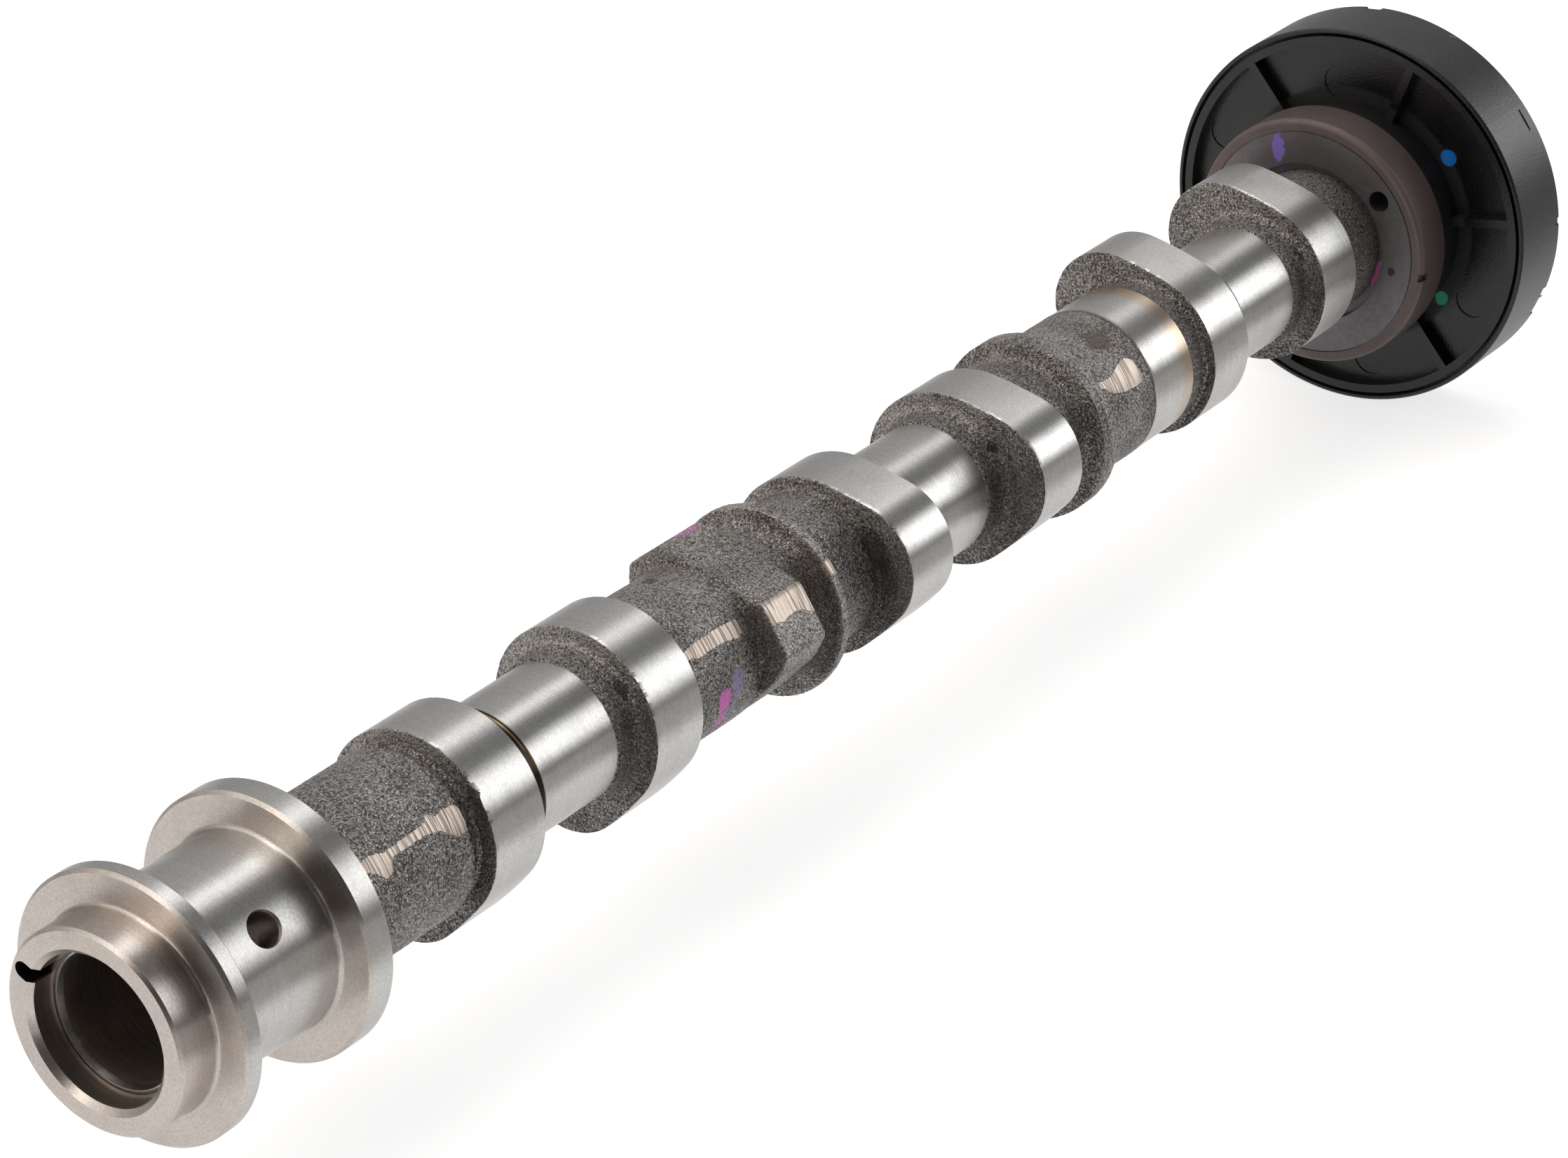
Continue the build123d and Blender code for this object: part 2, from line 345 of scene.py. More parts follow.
class Graph:
    """Short hand for wiring one node tree."""

    def __init__(self, tree: bpy.types.NodeTree) -> None:
        """Empties the tree and keeps it."""
        self.tree = tree
        tree.nodes.clear()

    def node(self, kind: str, **settings: object) -> bpy.types.Node:
        """Adds a node.

        Args:
            kind: the node's type name.
            settings: properties set on it.

        Returns:
            The node.
        """
        made = self.tree.nodes.new(kind)
        for word, value in settings.items():
            setattr(made, word, value)
        return made

    def put(self, value: object, socket: bpy.types.NodeSocket) -> None:
        """Links an output to a socket, or sets the socket's own value.

        Args:
            value: an output, or the value itself.
            socket: the input that it goes to.
        """
        if isinstance(value, bpy.types.NodeSocket):
            self.tree.links.new(value, socket)
        else:
            socket.default_value = value

    def sum(self, operation: str, *values: object) -> bpy.types.NodeSocket:
        """Adds a Math node.

        Args:
            operation: the node's operation.
            values: numbers or outputs, in order.

        Returns:
            Its output.
        """
        made = self.node("ShaderNodeMath", operation=operation)
        for value, socket in zip(values, made.inputs):
            self.put(value, socket)
        return made.outputs[0]

    def vector(self, operation: str, first: object, second: object) -> bpy.types.NodeSocket:
        """Adds a Vector Math node.

        Args:
            operation: the node's operation.
            first: vector or output.
            second: the other vector or output.

        Returns:
            Its vector, or its value for a dot product.
        """
        made = self.node("ShaderNodeVectorMath", operation=operation)
        self.put(first, made.inputs[0])
        self.put(second, made.inputs[1])
        return made.outputs["Value"] if operation == "DOT_PRODUCT" else made.outputs[0]

    def mix(self, share: object, first: object, second: object) -> bpy.types.NodeSocket:
        """Mixes two colours.

        Args:
            share: how much of the second is taken, from 0 to 1.
            first: colour or output.
            second: colour or output.

        Returns:
            The mixed colour.
        """
        made = self.node("ShaderNodeMix", data_type="RGBA")
        self.put(share, made.inputs[0])
        self.put(first, made.inputs[6])
        self.put(second, made.inputs[7])
        return made.outputs[2]

    def blend(self, share: object, first: object, second: object) -> bpy.types.NodeSocket:
        """Mixes two numbers.

        Args:
            share: how much of the second is taken, from 0 to 1.
            first: number or output.
            second: number or output.

        Returns:
            The mixed number.
        """
        made = self.node("ShaderNodeMix", data_type="FLOAT")
        self.put(share, made.inputs[0])
        self.put(first, made.inputs[2])
        self.put(second, made.inputs[3])
        return made.outputs[0]

    def ramp(
        self, value: object, low: float, high: float, start: float = 0.0, end: float = 1.0
    ) -> bpy.types.NodeSocket:
        """Maps a range of a number smoothly to another range.

        Args:
            value: number or output.
            low: start of the range that is read.
            high: end of it.
            start: result at its start.
            end: result at its end.

        Returns:
            The mapped number.
        """
        made = self.node("ShaderNodeMapRange", interpolation_type="SMOOTHSTEP")
        for number, socket in zip((value, low, high, start, end), made.inputs):
            self.put(number, socket)
        return made.outputs[0]

    def noise(self, where: object, scale: float, detail: float, rough: float) -> bpy.types.NodeSocket:
        """Adds a Noise texture.

        Args:
            where: the point it is read at.
            scale: features in a metre.
            detail: how many finer layers it has.
            rough: how strong each finer layer is.

        Returns:
            Its value, from 0 to 1.
        """
        made = self.node("ShaderNodeTexNoise")
        self.put(where, made.inputs["Vector"])
        self.put(scale, made.inputs["Scale"])
        self.put(detail, made.inputs["Detail"])
        self.put(rough, made.inputs["Roughness"])
        return made.outputs[0]

    def drift(self, where: object, scale: float) -> bpy.types.NodeSocket:
        """Adds a Noise texture whose colour serves as a direction.

        Args:
            where: the point it is read at.
            scale: features in a metre.

        Returns:
            The colour less a half.
        """
        made = self.node("ShaderNodeTexNoise")
        self.put(where, made.inputs["Vector"])
        self.put(scale, made.inputs["Scale"])
        return self.vector("SUBTRACT", made.outputs["Color"], (0.5, 0.5, 0.5))

    def cells(self, where: object, scale: float, smoothness: float) -> bpy.types.NodeSocket:
        """Adds a Voronoi texture.

        Args:
            where: the point it is read at.
            scale: cells in a metre.
            smoothness: how far the borders between cells are blended.

        Returns:
            The smoothed distance to the nearest of its points.
        """
        made = self.node("ShaderNodeTexVoronoi", feature="SMOOTH_F1")
        self.put(where, made.inputs["Vector"])
        self.put(scale, made.inputs["Scale"])
        self.put(smoothness, made.inputs["Smoothness"])
        return made.outputs["Distance"]

    def split(self, vector: bpy.types.NodeSocket) -> Sequence[bpy.types.NodeSocket]:
        """Separates a vector into its three parts.

        Args:
            vector: the output that gives it.

        Returns:
            The outputs for x, y and z.
        """
        made = self.node("ShaderNodeSeparateXYZ")
        self.put(vector, made.inputs[0])
        return made.outputs[:]

    def where(self) -> bpy.types.NodeSocket:
        """Object coordinates, in metres."""
        return self.node("ShaderNodeTexCoord").outputs["Object"]

    def mark(self, word: str) -> bpy.types.NodeSocket:
        """Value of one of the mesh's own attributes."""
        return self.node("ShaderNodeAttribute", attribute_name=word).outputs["Fac"]

    def round_axis(self, where: bpy.types.NodeSocket) -> tuple[bpy.types.NodeSocket, bpy.types.NodeSocket]:
        """Finds how far along the shaft and how far from its axis a point is.

        The distance from the axis is the root of y squared plus z squared.

        Args:
            where: Object coordinates.

        Returns:
            The point's x and its distance from the axis, in metres.
        """
        x, y, z = self.split(where)
        squared = self.sum("MULTIPLY_ADD", y, y, self.sum("MULTIPLY", z, z))
        return x, self.sum("SQRT", squared)

    def pair(self, first: object, second: object, scale: float, other: float) -> bpy.types.NodeSocket:
        """Joins two numbers into a vector, so that a texture varies along both and along nothing else.

        Args:
            first: the vector's x before its scale.
            second: its y before its scale.
            scale: what x is multiplied by.
            other: what y is multiplied by.

        Returns:
            The vector.
        """
        made = self.node("ShaderNodeCombineXYZ")
        self.put(self.sum("MULTIPLY", first, scale), made.inputs[0])
        self.put(self.sum("MULTIPLY", second, other), made.inputs[1])
        return made.outputs[0]

    def bump(self, height: object, depth: float, strength: float = 1.0) -> bpy.types.NodeSocket:
        """Adds a Bump node.

        Args:
            height: the relief, from 0 to 1.
            depth: metres that 1 stands for.
            strength: the node's strength.

        Returns:
            The bumped normal.
        """
        made = self.node("ShaderNodeBump")
        self.put(strength, made.inputs["Strength"])
        self.put(depth, made.inputs["Distance"])
        self.put(height, made.inputs["Height"])
        return made.outputs[0]

    def output(self, shader: bpy.types.Node, kind: str = "ShaderNodeOutputMaterial") -> None:
        """Links a shader to a new output node."""
        out = self.node(kind)
        self.put(shader.outputs[0], out.inputs[0])


def new_look(name: str) -> tuple[bpy.types.Material, Graph]:
    """Makes a material whose node tree is empty.

    Args:
        name: its name.

    Returns:
        The material and the graph of its tree.
    """
    made = bpy.data.materials.new(name)
    made.use_nodes = True
    return made, Graph(made.node_tree)


def tint(colour: Colour, factor: float, lift: float = 0.0) -> Colour:
    """Colour with each channel times a factor plus a lift, at most one."""
    red, green, blue = (min(1.0, channel * factor + lift) for channel in colour[:3])
    return red, green, blue, 1.0


@dataclass(frozen=True)
class Dab:
    """A daub of paint or a dark patch, many of them painted shade: an ellipsoid round a point, sized along, round and
    out of the shaft.
    """

    station: float
    radius: float
    bearing: float
    along: float
    around: float
    outward: float
    colour: Colour
    lean: float = 0.0
    cover: float = 1.0
    fray: float = 1.3
    spin: float = 0.0

    def share(self, g: Graph, where: bpy.types.NodeSocket, ragged: bpy.types.NodeSocket) -> bpy.types.NodeSocket:
        """How much of it lies at a point: its cover within the ellipsoid, and nothing past a ragged edge.

        The point less the daub's middle is resolved along the ellipsoid's three axes, each part is divided
        by its size, and the sum of their squares is one on the ellipsoid.

        Args:
            g: the material's graph.
            where: Object coordinates.
            ragged: noise that frays the edge.

        Returns:
            A share from 0 to 1.
        """
        middle = place(np.array(self.station), np.array(self.radius), np.array(self.bearing))
        spin, lean = math.radians(self.spin), math.radians(self.lean)
        along = np.array((1.0, 0.0, 0.0))
        radial, tangent = spokes(self.bearing)
        around = math.cos(spin) * tangent + math.sin(spin) * radial
        outward = math.cos(spin) * radial - math.sin(spin) * tangent
        first = math.cos(lean) * along + math.sin(lean) * around
        second = math.cos(lean) * around - math.sin(lean) * along
        local = g.vector("SUBTRACT", where, tuple(float(v) for v in middle))
        total: object = 0.0
        for axis, size in ((first, self.along), (second, self.around), (outward, self.outward)):
            part = g.vector("DOT_PRODUCT", local, tuple(float(v) for v in axis))
            part = g.sum("DIVIDE", part, size * MM)
            total = g.sum("MULTIPLY_ADD", part, part, total)
        edge = g.sum("MULTIPLY_ADD", g.sum("SUBTRACT", ragged, 0.5), self.fray * 2.0, total)
        return g.ramp(edge, 0.75, 1.15, self.cover, 0.0)


@dataclass(frozen=True)
class CastSkin:
    """Blasted iron skin: rounded grains that are paler on top and darker between them as painted light and shade,
    with painted sparkles, parting strips, stains, patches of painted shade and paint.
    """

    name: str = "cast_skin"
    dark: Colour = (0.040, 0.036, 0.034, 1.0)
    pale: Colour = (0.47, 0.448, 0.432, 1.0)
    painted_sparkle: Colour = (0.92, 0.86, 0.80, 1.0)
    strip: Colour = (0.62, 0.53, 0.465, 1.0)
    groove: Colour = (0.33, 0.265, 0.215, 1.0)
    rust_and_painted_shade: Colour = (0.040, 0.028, 0.021, 1.0)
    dabs: tuple[Dab, ...] = ()

    def build(self) -> bpy.types.Material:
        """Wires the material.

        Returns:
            The material.
        """
        made, g = new_look(self.name)
        where = g.where()
        grain = g.noise(where, 1900.0, 2.0, 0.5)
        fine = g.noise(where, 3600.0, 1.0, 0.5)
        shift = g.vector("MULTIPLY", g.drift(where, 1700.0), (0.0006, 0.0006, 0.0006))
        pebble = g.sum("SUBTRACT", 1.0, g.cells(g.vector("ADD", where, shift), 2250.0, 0.35))
        cloud = g.noise(where, 95.0, 3.0, 0.55)
        relief_and_painted_light = g.mark("relief_and_painted_light")
        relief = g.sum("MULTIPLY_ADD", grain, 0.36, g.sum("MULTIPLY", fine, 0.32))
        relief = g.sum("MULTIPLY_ADD", pebble, 0.42, relief)
        # painted light and shade: the colour goes from dark in the grains' hollows to pale on their tops, and the
        # relief_and_painted_light mark also brings patches of painted light
        level = g.sum("ADD", relief, g.sum("MULTIPLY", g.sum("SUBTRACT", relief_and_painted_light, 0.5), 0.16))
        tone = g.mix(g.ramp(level, 0.36, 0.82), self.dark, self.pale)
        # painted sparkle: pale specks on the fine grain stand in for glints of light
        tone = g.mix(g.ramp(fine, 0.60, 0.72, 0.0, 0.75), tone, self.painted_sparkle)
        tone = g.mix(g.ramp(cloud, 0.4, 0.7, 0.0, 0.16), tone, self.dark)
        # the stain mark darkens toward this colour; the pieces put mostly painted shade into it, on shaded sides, in
        # hollows and at edges, and a little real stain
        tone = g.mix(g.sum("MULTIPLY", g.mark("stain_shade_and_glint"), g.ramp(grain, 0.3, 0.6, 0.4, 0.95)), tone, self.rust_and_painted_shade)
        ragged = g.sum("ADD", g.mark("strip"), g.sum("MULTIPLY", g.sum("SUBTRACT", grain, 0.5), 1.1))
        cut = g.ramp(ragged, 0.44, 0.56)
        lines = self.lines(g, where)
        tone = g.mix(cut, tone, g.mix(lines, self.groove, self.strip))
        coat: object = 0.0
        for dab in self.dabs:
            share = dab.share(g, where, grain)
            tone = g.mix(share, tone, dab.colour)
            coat = g.sum("MAXIMUM", coat, share)
        shader = g.node("ShaderNodeBsdfPrincipled")
        g.put(tone, shader.inputs["Base Color"])
        bare = g.blend(cut, g.ramp(level, 0.4, 0.75, 0.1, 0.75), 0.7)
        g.put(g.blend(coat, bare, 0.0), shader.inputs["Metallic"])
        g.put(g.blend(cut, g.ramp(fine, 0.3, 0.7, 0.56, 0.38), 0.42), shader.inputs["Roughness"])
        height = g.blend(cut, relief, g.sum("MULTIPLY_ADD", lines, 0.14, g.sum("MULTIPLY", fine, 0.05)))
        g.put(g.bump(height, 0.00036, 1.0), shader.inputs["Normal"])
        g.output(shader)
        return made

    @staticmethod
    def lines(g: Graph, where: bpy.types.NodeSocket) -> bpy.types.NodeSocket:
        """Chatter lines of the fettling wheel: where noise, squeezed along the shaft, crosses its middle.

        Args:
            g: the material's graph.
            where: Object coordinates.

        Returns:
            Noise from 0 to 1.
        """
        squeezed = g.vector("MULTIPLY", where, (1300.0, 55.0, 55.0))
        away = g.sum("ABSOLUTE", g.sum("SUBTRACT", g.noise(squeezed, 1.0, 1.0, 0.5), 0.5))
        return g.ramp(away, 0.0, 0.085)


@dataclass(frozen=True)
class GroundSteel:
    """Ground iron: bright and cool round the shaft, warmer on turned faces, with lines round the axis.

    The lines stretch its highlights square to themselves, so that each softbox is a band along the shaft.
    """

    name: str = "ground_steel"
    colour: Colour = (0.60, 0.595, 0.58, 1.0)
    turned: Colour = (0.60, 0.545, 0.505, 1.0)
    bronze: Colour = (0.50, 0.34, 0.19, 1.0)
    painted_groove_shadow: Colour = (0.016, 0.011, 0.008, 1.0)
    cloudy: Colour = (0.40, 0.36, 0.33, 1.0)
    scratched: Colour = (0.25, 0.24, 0.23, 1.0)
    lines_per_metre: float = 5200.0
    roughness: float = 0.24
    face_roughness: float = 0.27
    stretch: float = 0.95

    def build(self) -> bpy.types.Material:
        """Wires the material.

        Returns:
            The material.
        """
        made, g = new_look(self.name)
        where = g.where()
        normal = g.split(g.node("ShaderNodeNewGeometry").outputs["True Normal"])
        face = g.ramp(g.sum("ABSOLUTE", normal[0]), 0.45, 0.8)
        along, across = g.round_axis(where)
        lines = g.noise(g.pair(along, across, self.lines_per_metre, self.lines_per_metre), 1.0, 3.0, 0.6)
        cloud = g.noise(where, 170.0, 3.0, 0.6)
        fine = g.noise(where, 2600.0, 2.0, 0.5)
        tone = g.mix(g.sum("MAXIMUM", face, g.mark("turned")), self.colour, self.turned)
        tone = g.mix(g.ramp(cloud, 0.4, 0.75, 0.0, 0.16), tone, self.cloudy)
        tone = g.mix(g.ramp(fine, 0.34, 0.66, 0.24, 0.0), tone, self.scratched)
        tone = g.mix(g.ramp(lines, 0.34, 0.62, 0.16, 0.0), tone, self.scratched)
        speck = g.sum("MULTIPLY", g.ramp(g.noise(where, 700.0, 2.0, 0.6), 0.64, 0.72), g.ramp(cloud, 0.5, 0.7))
        tone = g.mix(g.sum("MULTIPLY", speck, 0.5), tone, self.bronze)
        # bronze where the stain mark is high: a real tint on the rear ring, and a painted bronze glint along a line
        # in the first journal's groove
        tone = g.mix(g.mark("stain_shade_and_glint"), tone, self.bronze)
        # painted shadow: the groove behind the first lobe is darkened to near black
        tone = g.mix(g.mark("painted_groove_shadow"), tone, self.painted_groove_shadow)
        shader = g.node("ShaderNodeBsdfPrincipled")
        g.put(tone, shader.inputs["Base Color"])
        g.put(1.0, shader.inputs["Metallic"])
        smooth = g.blend(face, self.roughness, self.face_roughness)
        g.put(g.sum("MULTIPLY_ADD", g.sum("SUBTRACT", cloud, 0.5), 0.12, smooth), shader.inputs["Roughness"])
        g.put(self.stretch, shader.inputs["Anisotropic"])
        g.put(0.25, shader.inputs["Anisotropic Rotation"])
        g.put(g.vector("CROSS_PRODUCT", (1.0, 0.0, 0.0), where), shader.inputs["Tangent"])
        g.put(g.bump(lines, 0.000004, 1.0), shader.inputs["Normal"])
        g.output(shader)
        return made


@dataclass(frozen=True)
class Bored:
    """Dark oily metal of the bore, the oil hole and the slot, with rings left by the tool.

    The slot is what lies outside a radius and in front of a station, and its inside is painted near black as shade;
    each changes over a short range, in metres.
    """

    name: str = "bored_metal"
    colour: Colour = (0.36, 0.315, 0.28, 1.0)
    shade: Colour = (0.16, 0.13, 0.11, 1.0)
    black: Colour = (0.034, 0.029, 0.025, 1.0)
    slot_out: tuple[float, float] = (0.01222, 0.0126)
    slot_back: tuple[float, float] = (-0.0165, -0.018)

    def build(self) -> bpy.types.Material:
        """Wires the material.

        Returns:
            The material.
        """
        made, g = new_look(self.name)
        where = g.where()
        rings = g.noise(g.vector("MULTIPLY", where, (2600.0, 40.0, 40.0)), 1.0, 2.0, 0.6)
        cloud = g.noise(where, 260.0, 3.0, 0.6)
        tone = g.mix(g.ramp(rings, 0.2, 0.8, 0.2, 0.7), self.colour, self.shade)
        tone = g.mix(g.ramp(cloud, 0.4, 0.75, 0.0, 0.6), tone, self.shade)
        along, across = g.round_axis(where)
        slot = g.sum("MULTIPLY", g.ramp(across, *self.slot_out), g.ramp(along, *self.slot_back))
        # painted shade: the slot's inside is darkened to near black
        tone = g.mix(slot, tone, self.black)
        shader = g.node("ShaderNodeBsdfPrincipled")
        g.put(tone, shader.inputs["Base Color"])
        g.put(0.9, shader.inputs["Metallic"])
        g.put(g.ramp(cloud, 0.3, 0.7, 0.44, 0.56), shader.inputs["Roughness"])
        g.put(g.bump(rings, 0.00001, 1.0), shader.inputs["Normal"])
        g.output(shader)
        return made


@dataclass(frozen=True)
class Moulding:
    """Filled black plastic with a fine matt texture and a satin sheen, which is dull next to the insert."""

    name: str
    colour: Colour
    roughness: float
    specular: float = 0.5
    dull: float = 0.62
    dull_edge: tuple[float, float] = (0.0252, 0.0262)
    dabs: tuple[Dab, ...] = ()

    def build(self) -> bpy.types.Material:
        """Wires the material.

        Returns:
            The material.
        """
        made, g = new_look(self.name)
        where = g.where()
        fine = g.noise(where, 3200.0, 2.0, 0.5)
        cloud = g.noise(where, 120.0, 3.0, 0.6)
        tone = g.mix(g.ramp(cloud, 0.35, 0.75), self.colour, tint(self.colour, 1.5, 0.004))
        tone = g.mix(g.ramp(fine, 0.32, 0.68, 0.0, 0.6), tone, tint(self.colour, 0.25))
        tone = g.mix(g.ramp(fine, 0.60, 0.30, 0.0, 0.35), tone, tint(self.colour, 2.6))
        for dab in self.dabs:
            tone = g.mix(dab.share(g, where, cloud), tone, dab.colour)
        shader = g.node("ShaderNodeBsdfPrincipled")
        g.put(tone, shader.inputs["Base Color"])
        g.put(self.specular, shader.inputs["Specular IOR Level"])
        sheen = g.ramp(cloud, 0.3, 0.8, self.roughness - 0.02, self.roughness + 0.03)
        _, across = g.round_axis(where)
        g.put(g.blend(g.ramp(across, *self.dull_edge), self.dull, sheen), shader.inputs["Roughness"])
        g.put(g.bump(fine, 0.00006, 0.8), shader.inputs["Normal"])
        g.output(shader)
        return made


@dataclass(frozen=True)
class TurnedInsert:
    """Dull turned metal of the wheel's insert: grey on its face, brown on its rim, with lathe rings."""

    name: str = "turned_insert"
    grey: Colour = (0.175, 0.165, 0.172, 1.0)
    brown: Colour = (0.150, 0.116, 0.112, 1.0)
    worn: Colour = (0.09, 0.08, 0.08, 1.0)
    rim_edge: tuple[float, float] = (0.0222, 0.0228)
    dabs: tuple[Dab, ...] = ()

    def build(self) -> bpy.types.Material:
        """Wires the material.

        Returns:
            The material.
        """
        made, g = new_look(self.name)
        where = g.where()
        along, across = g.round_axis(where)
        rim = g.ramp(across, *self.rim_edge)
        lump = g.noise(where, 1100.0, 2.0, 0.5)
        cloud = g.noise(where, 130.0, 3.0, 0.6)
        tone = g.mix(rim, self.grey, self.brown)
        tone = g.mix(g.ramp(cloud, 0.3, 0.8, 0.0, 0.35), tone, self.worn)
        coat: object = 0.0
        for dab in self.dabs:
            share = dab.share(g, where, lump)
            tone = g.mix(share, tone, dab.colour)
            coat = g.sum("MAXIMUM", coat, share)
        lathe = g.noise(g.pair(along, across, 3000.0, 3500.0), 1.0, 2.0, 0.5)
        shader = g.node("ShaderNodeBsdfPrincipled")
        g.put(tone, shader.inputs["Base Color"])
        g.put(g.blend(coat, g.sum("MULTIPLY_ADD", rim, -0.40, 0.85), 0.0), shader.inputs["Metallic"])
        g.put(g.ramp(lump, 0.3, 0.7, 0.46, 0.56), shader.inputs["Roughness"])
        g.put(0.4, shader.inputs["Anisotropic"])
        g.put(g.vector("CROSS_PRODUCT", (1.0, 0.0, 0.0), where), shader.inputs["Tangent"])
        g.put(g.bump(g.sum("ADD", lathe, g.sum("MULTIPLY", lump, 0.6)), 0.00002, 0.8), shader.inputs["Normal"])
        g.output(shader)
        return made


# forms of the shaft and how a piece of it is finished


@dataclass(frozen=True)
class CamForm:
    """Outline of a lobe: a base circle, a nose circle and a large flank circle that touches both."""

    base: float = 16.0
    lift: float = 4.83
    nose: float = 11.5
    flank: float = 77.0

    def radius(self, turn: Array) -> Array:
        """Radius at each angle from the tip.

        A ray from the axis meets a circle whose centre is C and whose radius is R at C.e plus the root
        of R squared less C squared plus C.e squared, where e is the ray; the ray's angle picks which of
        the three circles it meets.

        Args:
            turn: degrees from the tip.

        Returns:
            Radii in millimetres.
        """
        angle = np.abs((turn + 180.0) % 360.0 - 180.0) * math.pi / 180.0
        middle = self.base + self.lift - self.nose
        wide = self.flank - self.base
        narrow = self.flank - self.nose
        x = (wide * wide - narrow * narrow + middle * middle) / (2 * middle)
        y = -math.sqrt(wide * wide - x * x)
        base_end = math.atan2(-y, -x)
        tip = (middle + self.nose * (middle - x) / narrow, self.nose * -y / narrow)
        nose_end = math.atan2(tip[1], tip[0])
        ray_x, ray_y = np.cos(angle), np.sin(angle)
        on_nose = middle * ray_x + np.sqrt(np.maximum(self.nose**2 - (middle * ray_y) ** 2, 0.0))
        toward = x * ray_x + y * ray_y
        on_flank = toward + np.sqrt(self.flank**2 - x * x - y * y + toward**2)
        return np.where(angle >= base_end, self.base, np.where(angle <= nose_end, on_nose, on_flank))


@dataclass(frozen=True)
class Strip:
    """Patch where the casting's parting line was ground off: an outline of station and bearing pairs."""

    outline: tuple[tuple[float, float], ...]
    reach: float = 14.4

    def weight(self, skin: "Skin") -> Array:
        """How far inside the outline each grid point is.

        The signed distance in millimetres to the nearest edge, where bearings become lengths on the
        reach radius, goes through a ramp 0.6 mm wide; a point is inside when a ray from it crosses an
        odd number of edges.

        Args:
            skin: the skin that carries the strip.

        Returns:
            Weights from 0 to 1.
        """
        scale = np.array((1.0, math.radians(1.0) * self.reach))
        corners = np.array(self.outline) * scale
        spots = np.stack((skin.station, skin.bearing), axis=-1) * scale
        nearest = np.full(skin.station.shape, 1e6)
        inside = np.zeros(skin.station.shape, dtype=bool)
        for first, second in zip(corners, np.roll(corners, -1, axis=0)):
            edge = second - first
            share = np.clip(((spots - first) @ edge) / max(float(edge @ edge), 1e-9), 0.0, 1.0)
            gap = np.linalg.norm(spots - first - share[..., None] * edge, axis=-1)
            nearest = np.minimum(nearest, gap)
            crosses = (first[1] > spots[..., 1]) != (second[1] > spots[..., 1])
            rise = edge[1] if abs(edge[1]) > 1e-9 else 1e-9
            inside ^= crosses & (spots[..., 0] < first[0] + (spots[..., 1] - first[1]) * edge[0] / rise)
        return np.clip(0.5 + np.where(inside, nearest, -nearest) / 0.6, 0.0, 1.0)


@dataclass(frozen=True)
class Relief:
    """Unevenness of the cast skin, as two sizes of lump in millimetres."""

    seed: int
    grain: float = 0.06
    grain_cell: float = 0.78
    lump: float = 0.07
    lump_cell: float = 5.0

    def height(self, points: Array) -> Array:
        """Rounded grains, whose height is one less twice a noise's size, plus smaller grains and a slow swell.

        Args:
            points: positions in millimetres.

        Returns:
            The relief in millimetres.
        """
        pebble = 1.0 - 2.0 * np.abs(lattice_noise(points, self.grain_cell, self.seed)) ** 0.8
        finer = lattice_noise(points, self.grain_cell * 0.55, self.seed + 3)
        slow = lattice_noise(points, self.lump_cell, self.seed + 1)
        return self.grain * (0.6 * pebble + 0.55 * finer - 0.2) + self.lump * slow


def dress(skin: Skin, name: str, finishes: Sequence[bpy.types.Material]) -> bpy.types.Object:
    """Makes a skin an object that rides on the shaft and stands for its CAD node.

    Args:
        skin: the finished skin.
        name: the piece's name.
        finishes: its materials, in the order of Finish.

    Returns:
        The object.
    """
    made = bpy.data.objects.new(name, skin.mesh(name))
    bpy.context.scene.collection.objects.link(made)
    for finish in finishes:
        made.data.materials.append(finish)
    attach(made, BODY)
    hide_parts(SHAFT)
    return made


def blank_marks(skin: Skin) -> None:
    """Gives a skin the marks that the shaft's materials read."""
    for word, level in (("strip", 0.0), ("stain_shade_and_glint", 0.0), ("painted_groove_shadow", 0.0), ("turned", 0.0), ("relief_and_painted_light", 0.5)):
        skin.marks.setdefault(word, np.full(skin.station.shape, level))


def lower(skin: Skin, stations: tuple[float, float, float], depth: float) -> None:
    """Moves a length of a skin down, as the casting sits a little below the ground axis there.

    The depth times the sine of the bearing is added to the radius.

    Args:
        skin: the skin.
        stations: start, end and blur of the length.
        depth: millimetres.
    """
    share = soft_box(skin.station, *stations)
    skin.radius = skin.radius + share * depth * np.sin(np.radians(skin.bearing))


def patch(skin: Skin, stations: tuple[float, float, float], bearing: tuple[float, float, float]) -> Array:
    """Weights of a soft-edged patch; each range is its low end, its high end and its blur."""
    return soft_box(skin.station, *stations) * soft_box(skin.bearing, *bearing)


def grind_strips(skin: Skin, strips: Sequence[Strip]) -> Array:
    """Marks the parting strips on a skin and gives how much of the cast relief stays.

    Args:
        skin: the skin.
        strips: its strips.

    Returns:
        Share of relief from 0 to 1.
    """
    blank_marks(skin)
    for strip in strips:
        skin.marks["strip"] = np.maximum(skin.marks["strip"], strip.weight(skin))
    return 1.0 - 0.85 * skin.marks["strip"]


def ridge_strips(skin: Skin) -> None:
    """Cuts ridges 0.02 mm high across the strips: a sum of two sines along the shaft, added to the radius."""
    wave = np.sin(skin.station * 6.1) + 0.6 * np.sin(skin.station * 9.7 + 1.0)
    skin.radius = skin.radius + skin.marks["strip"] * 0.02 * wave


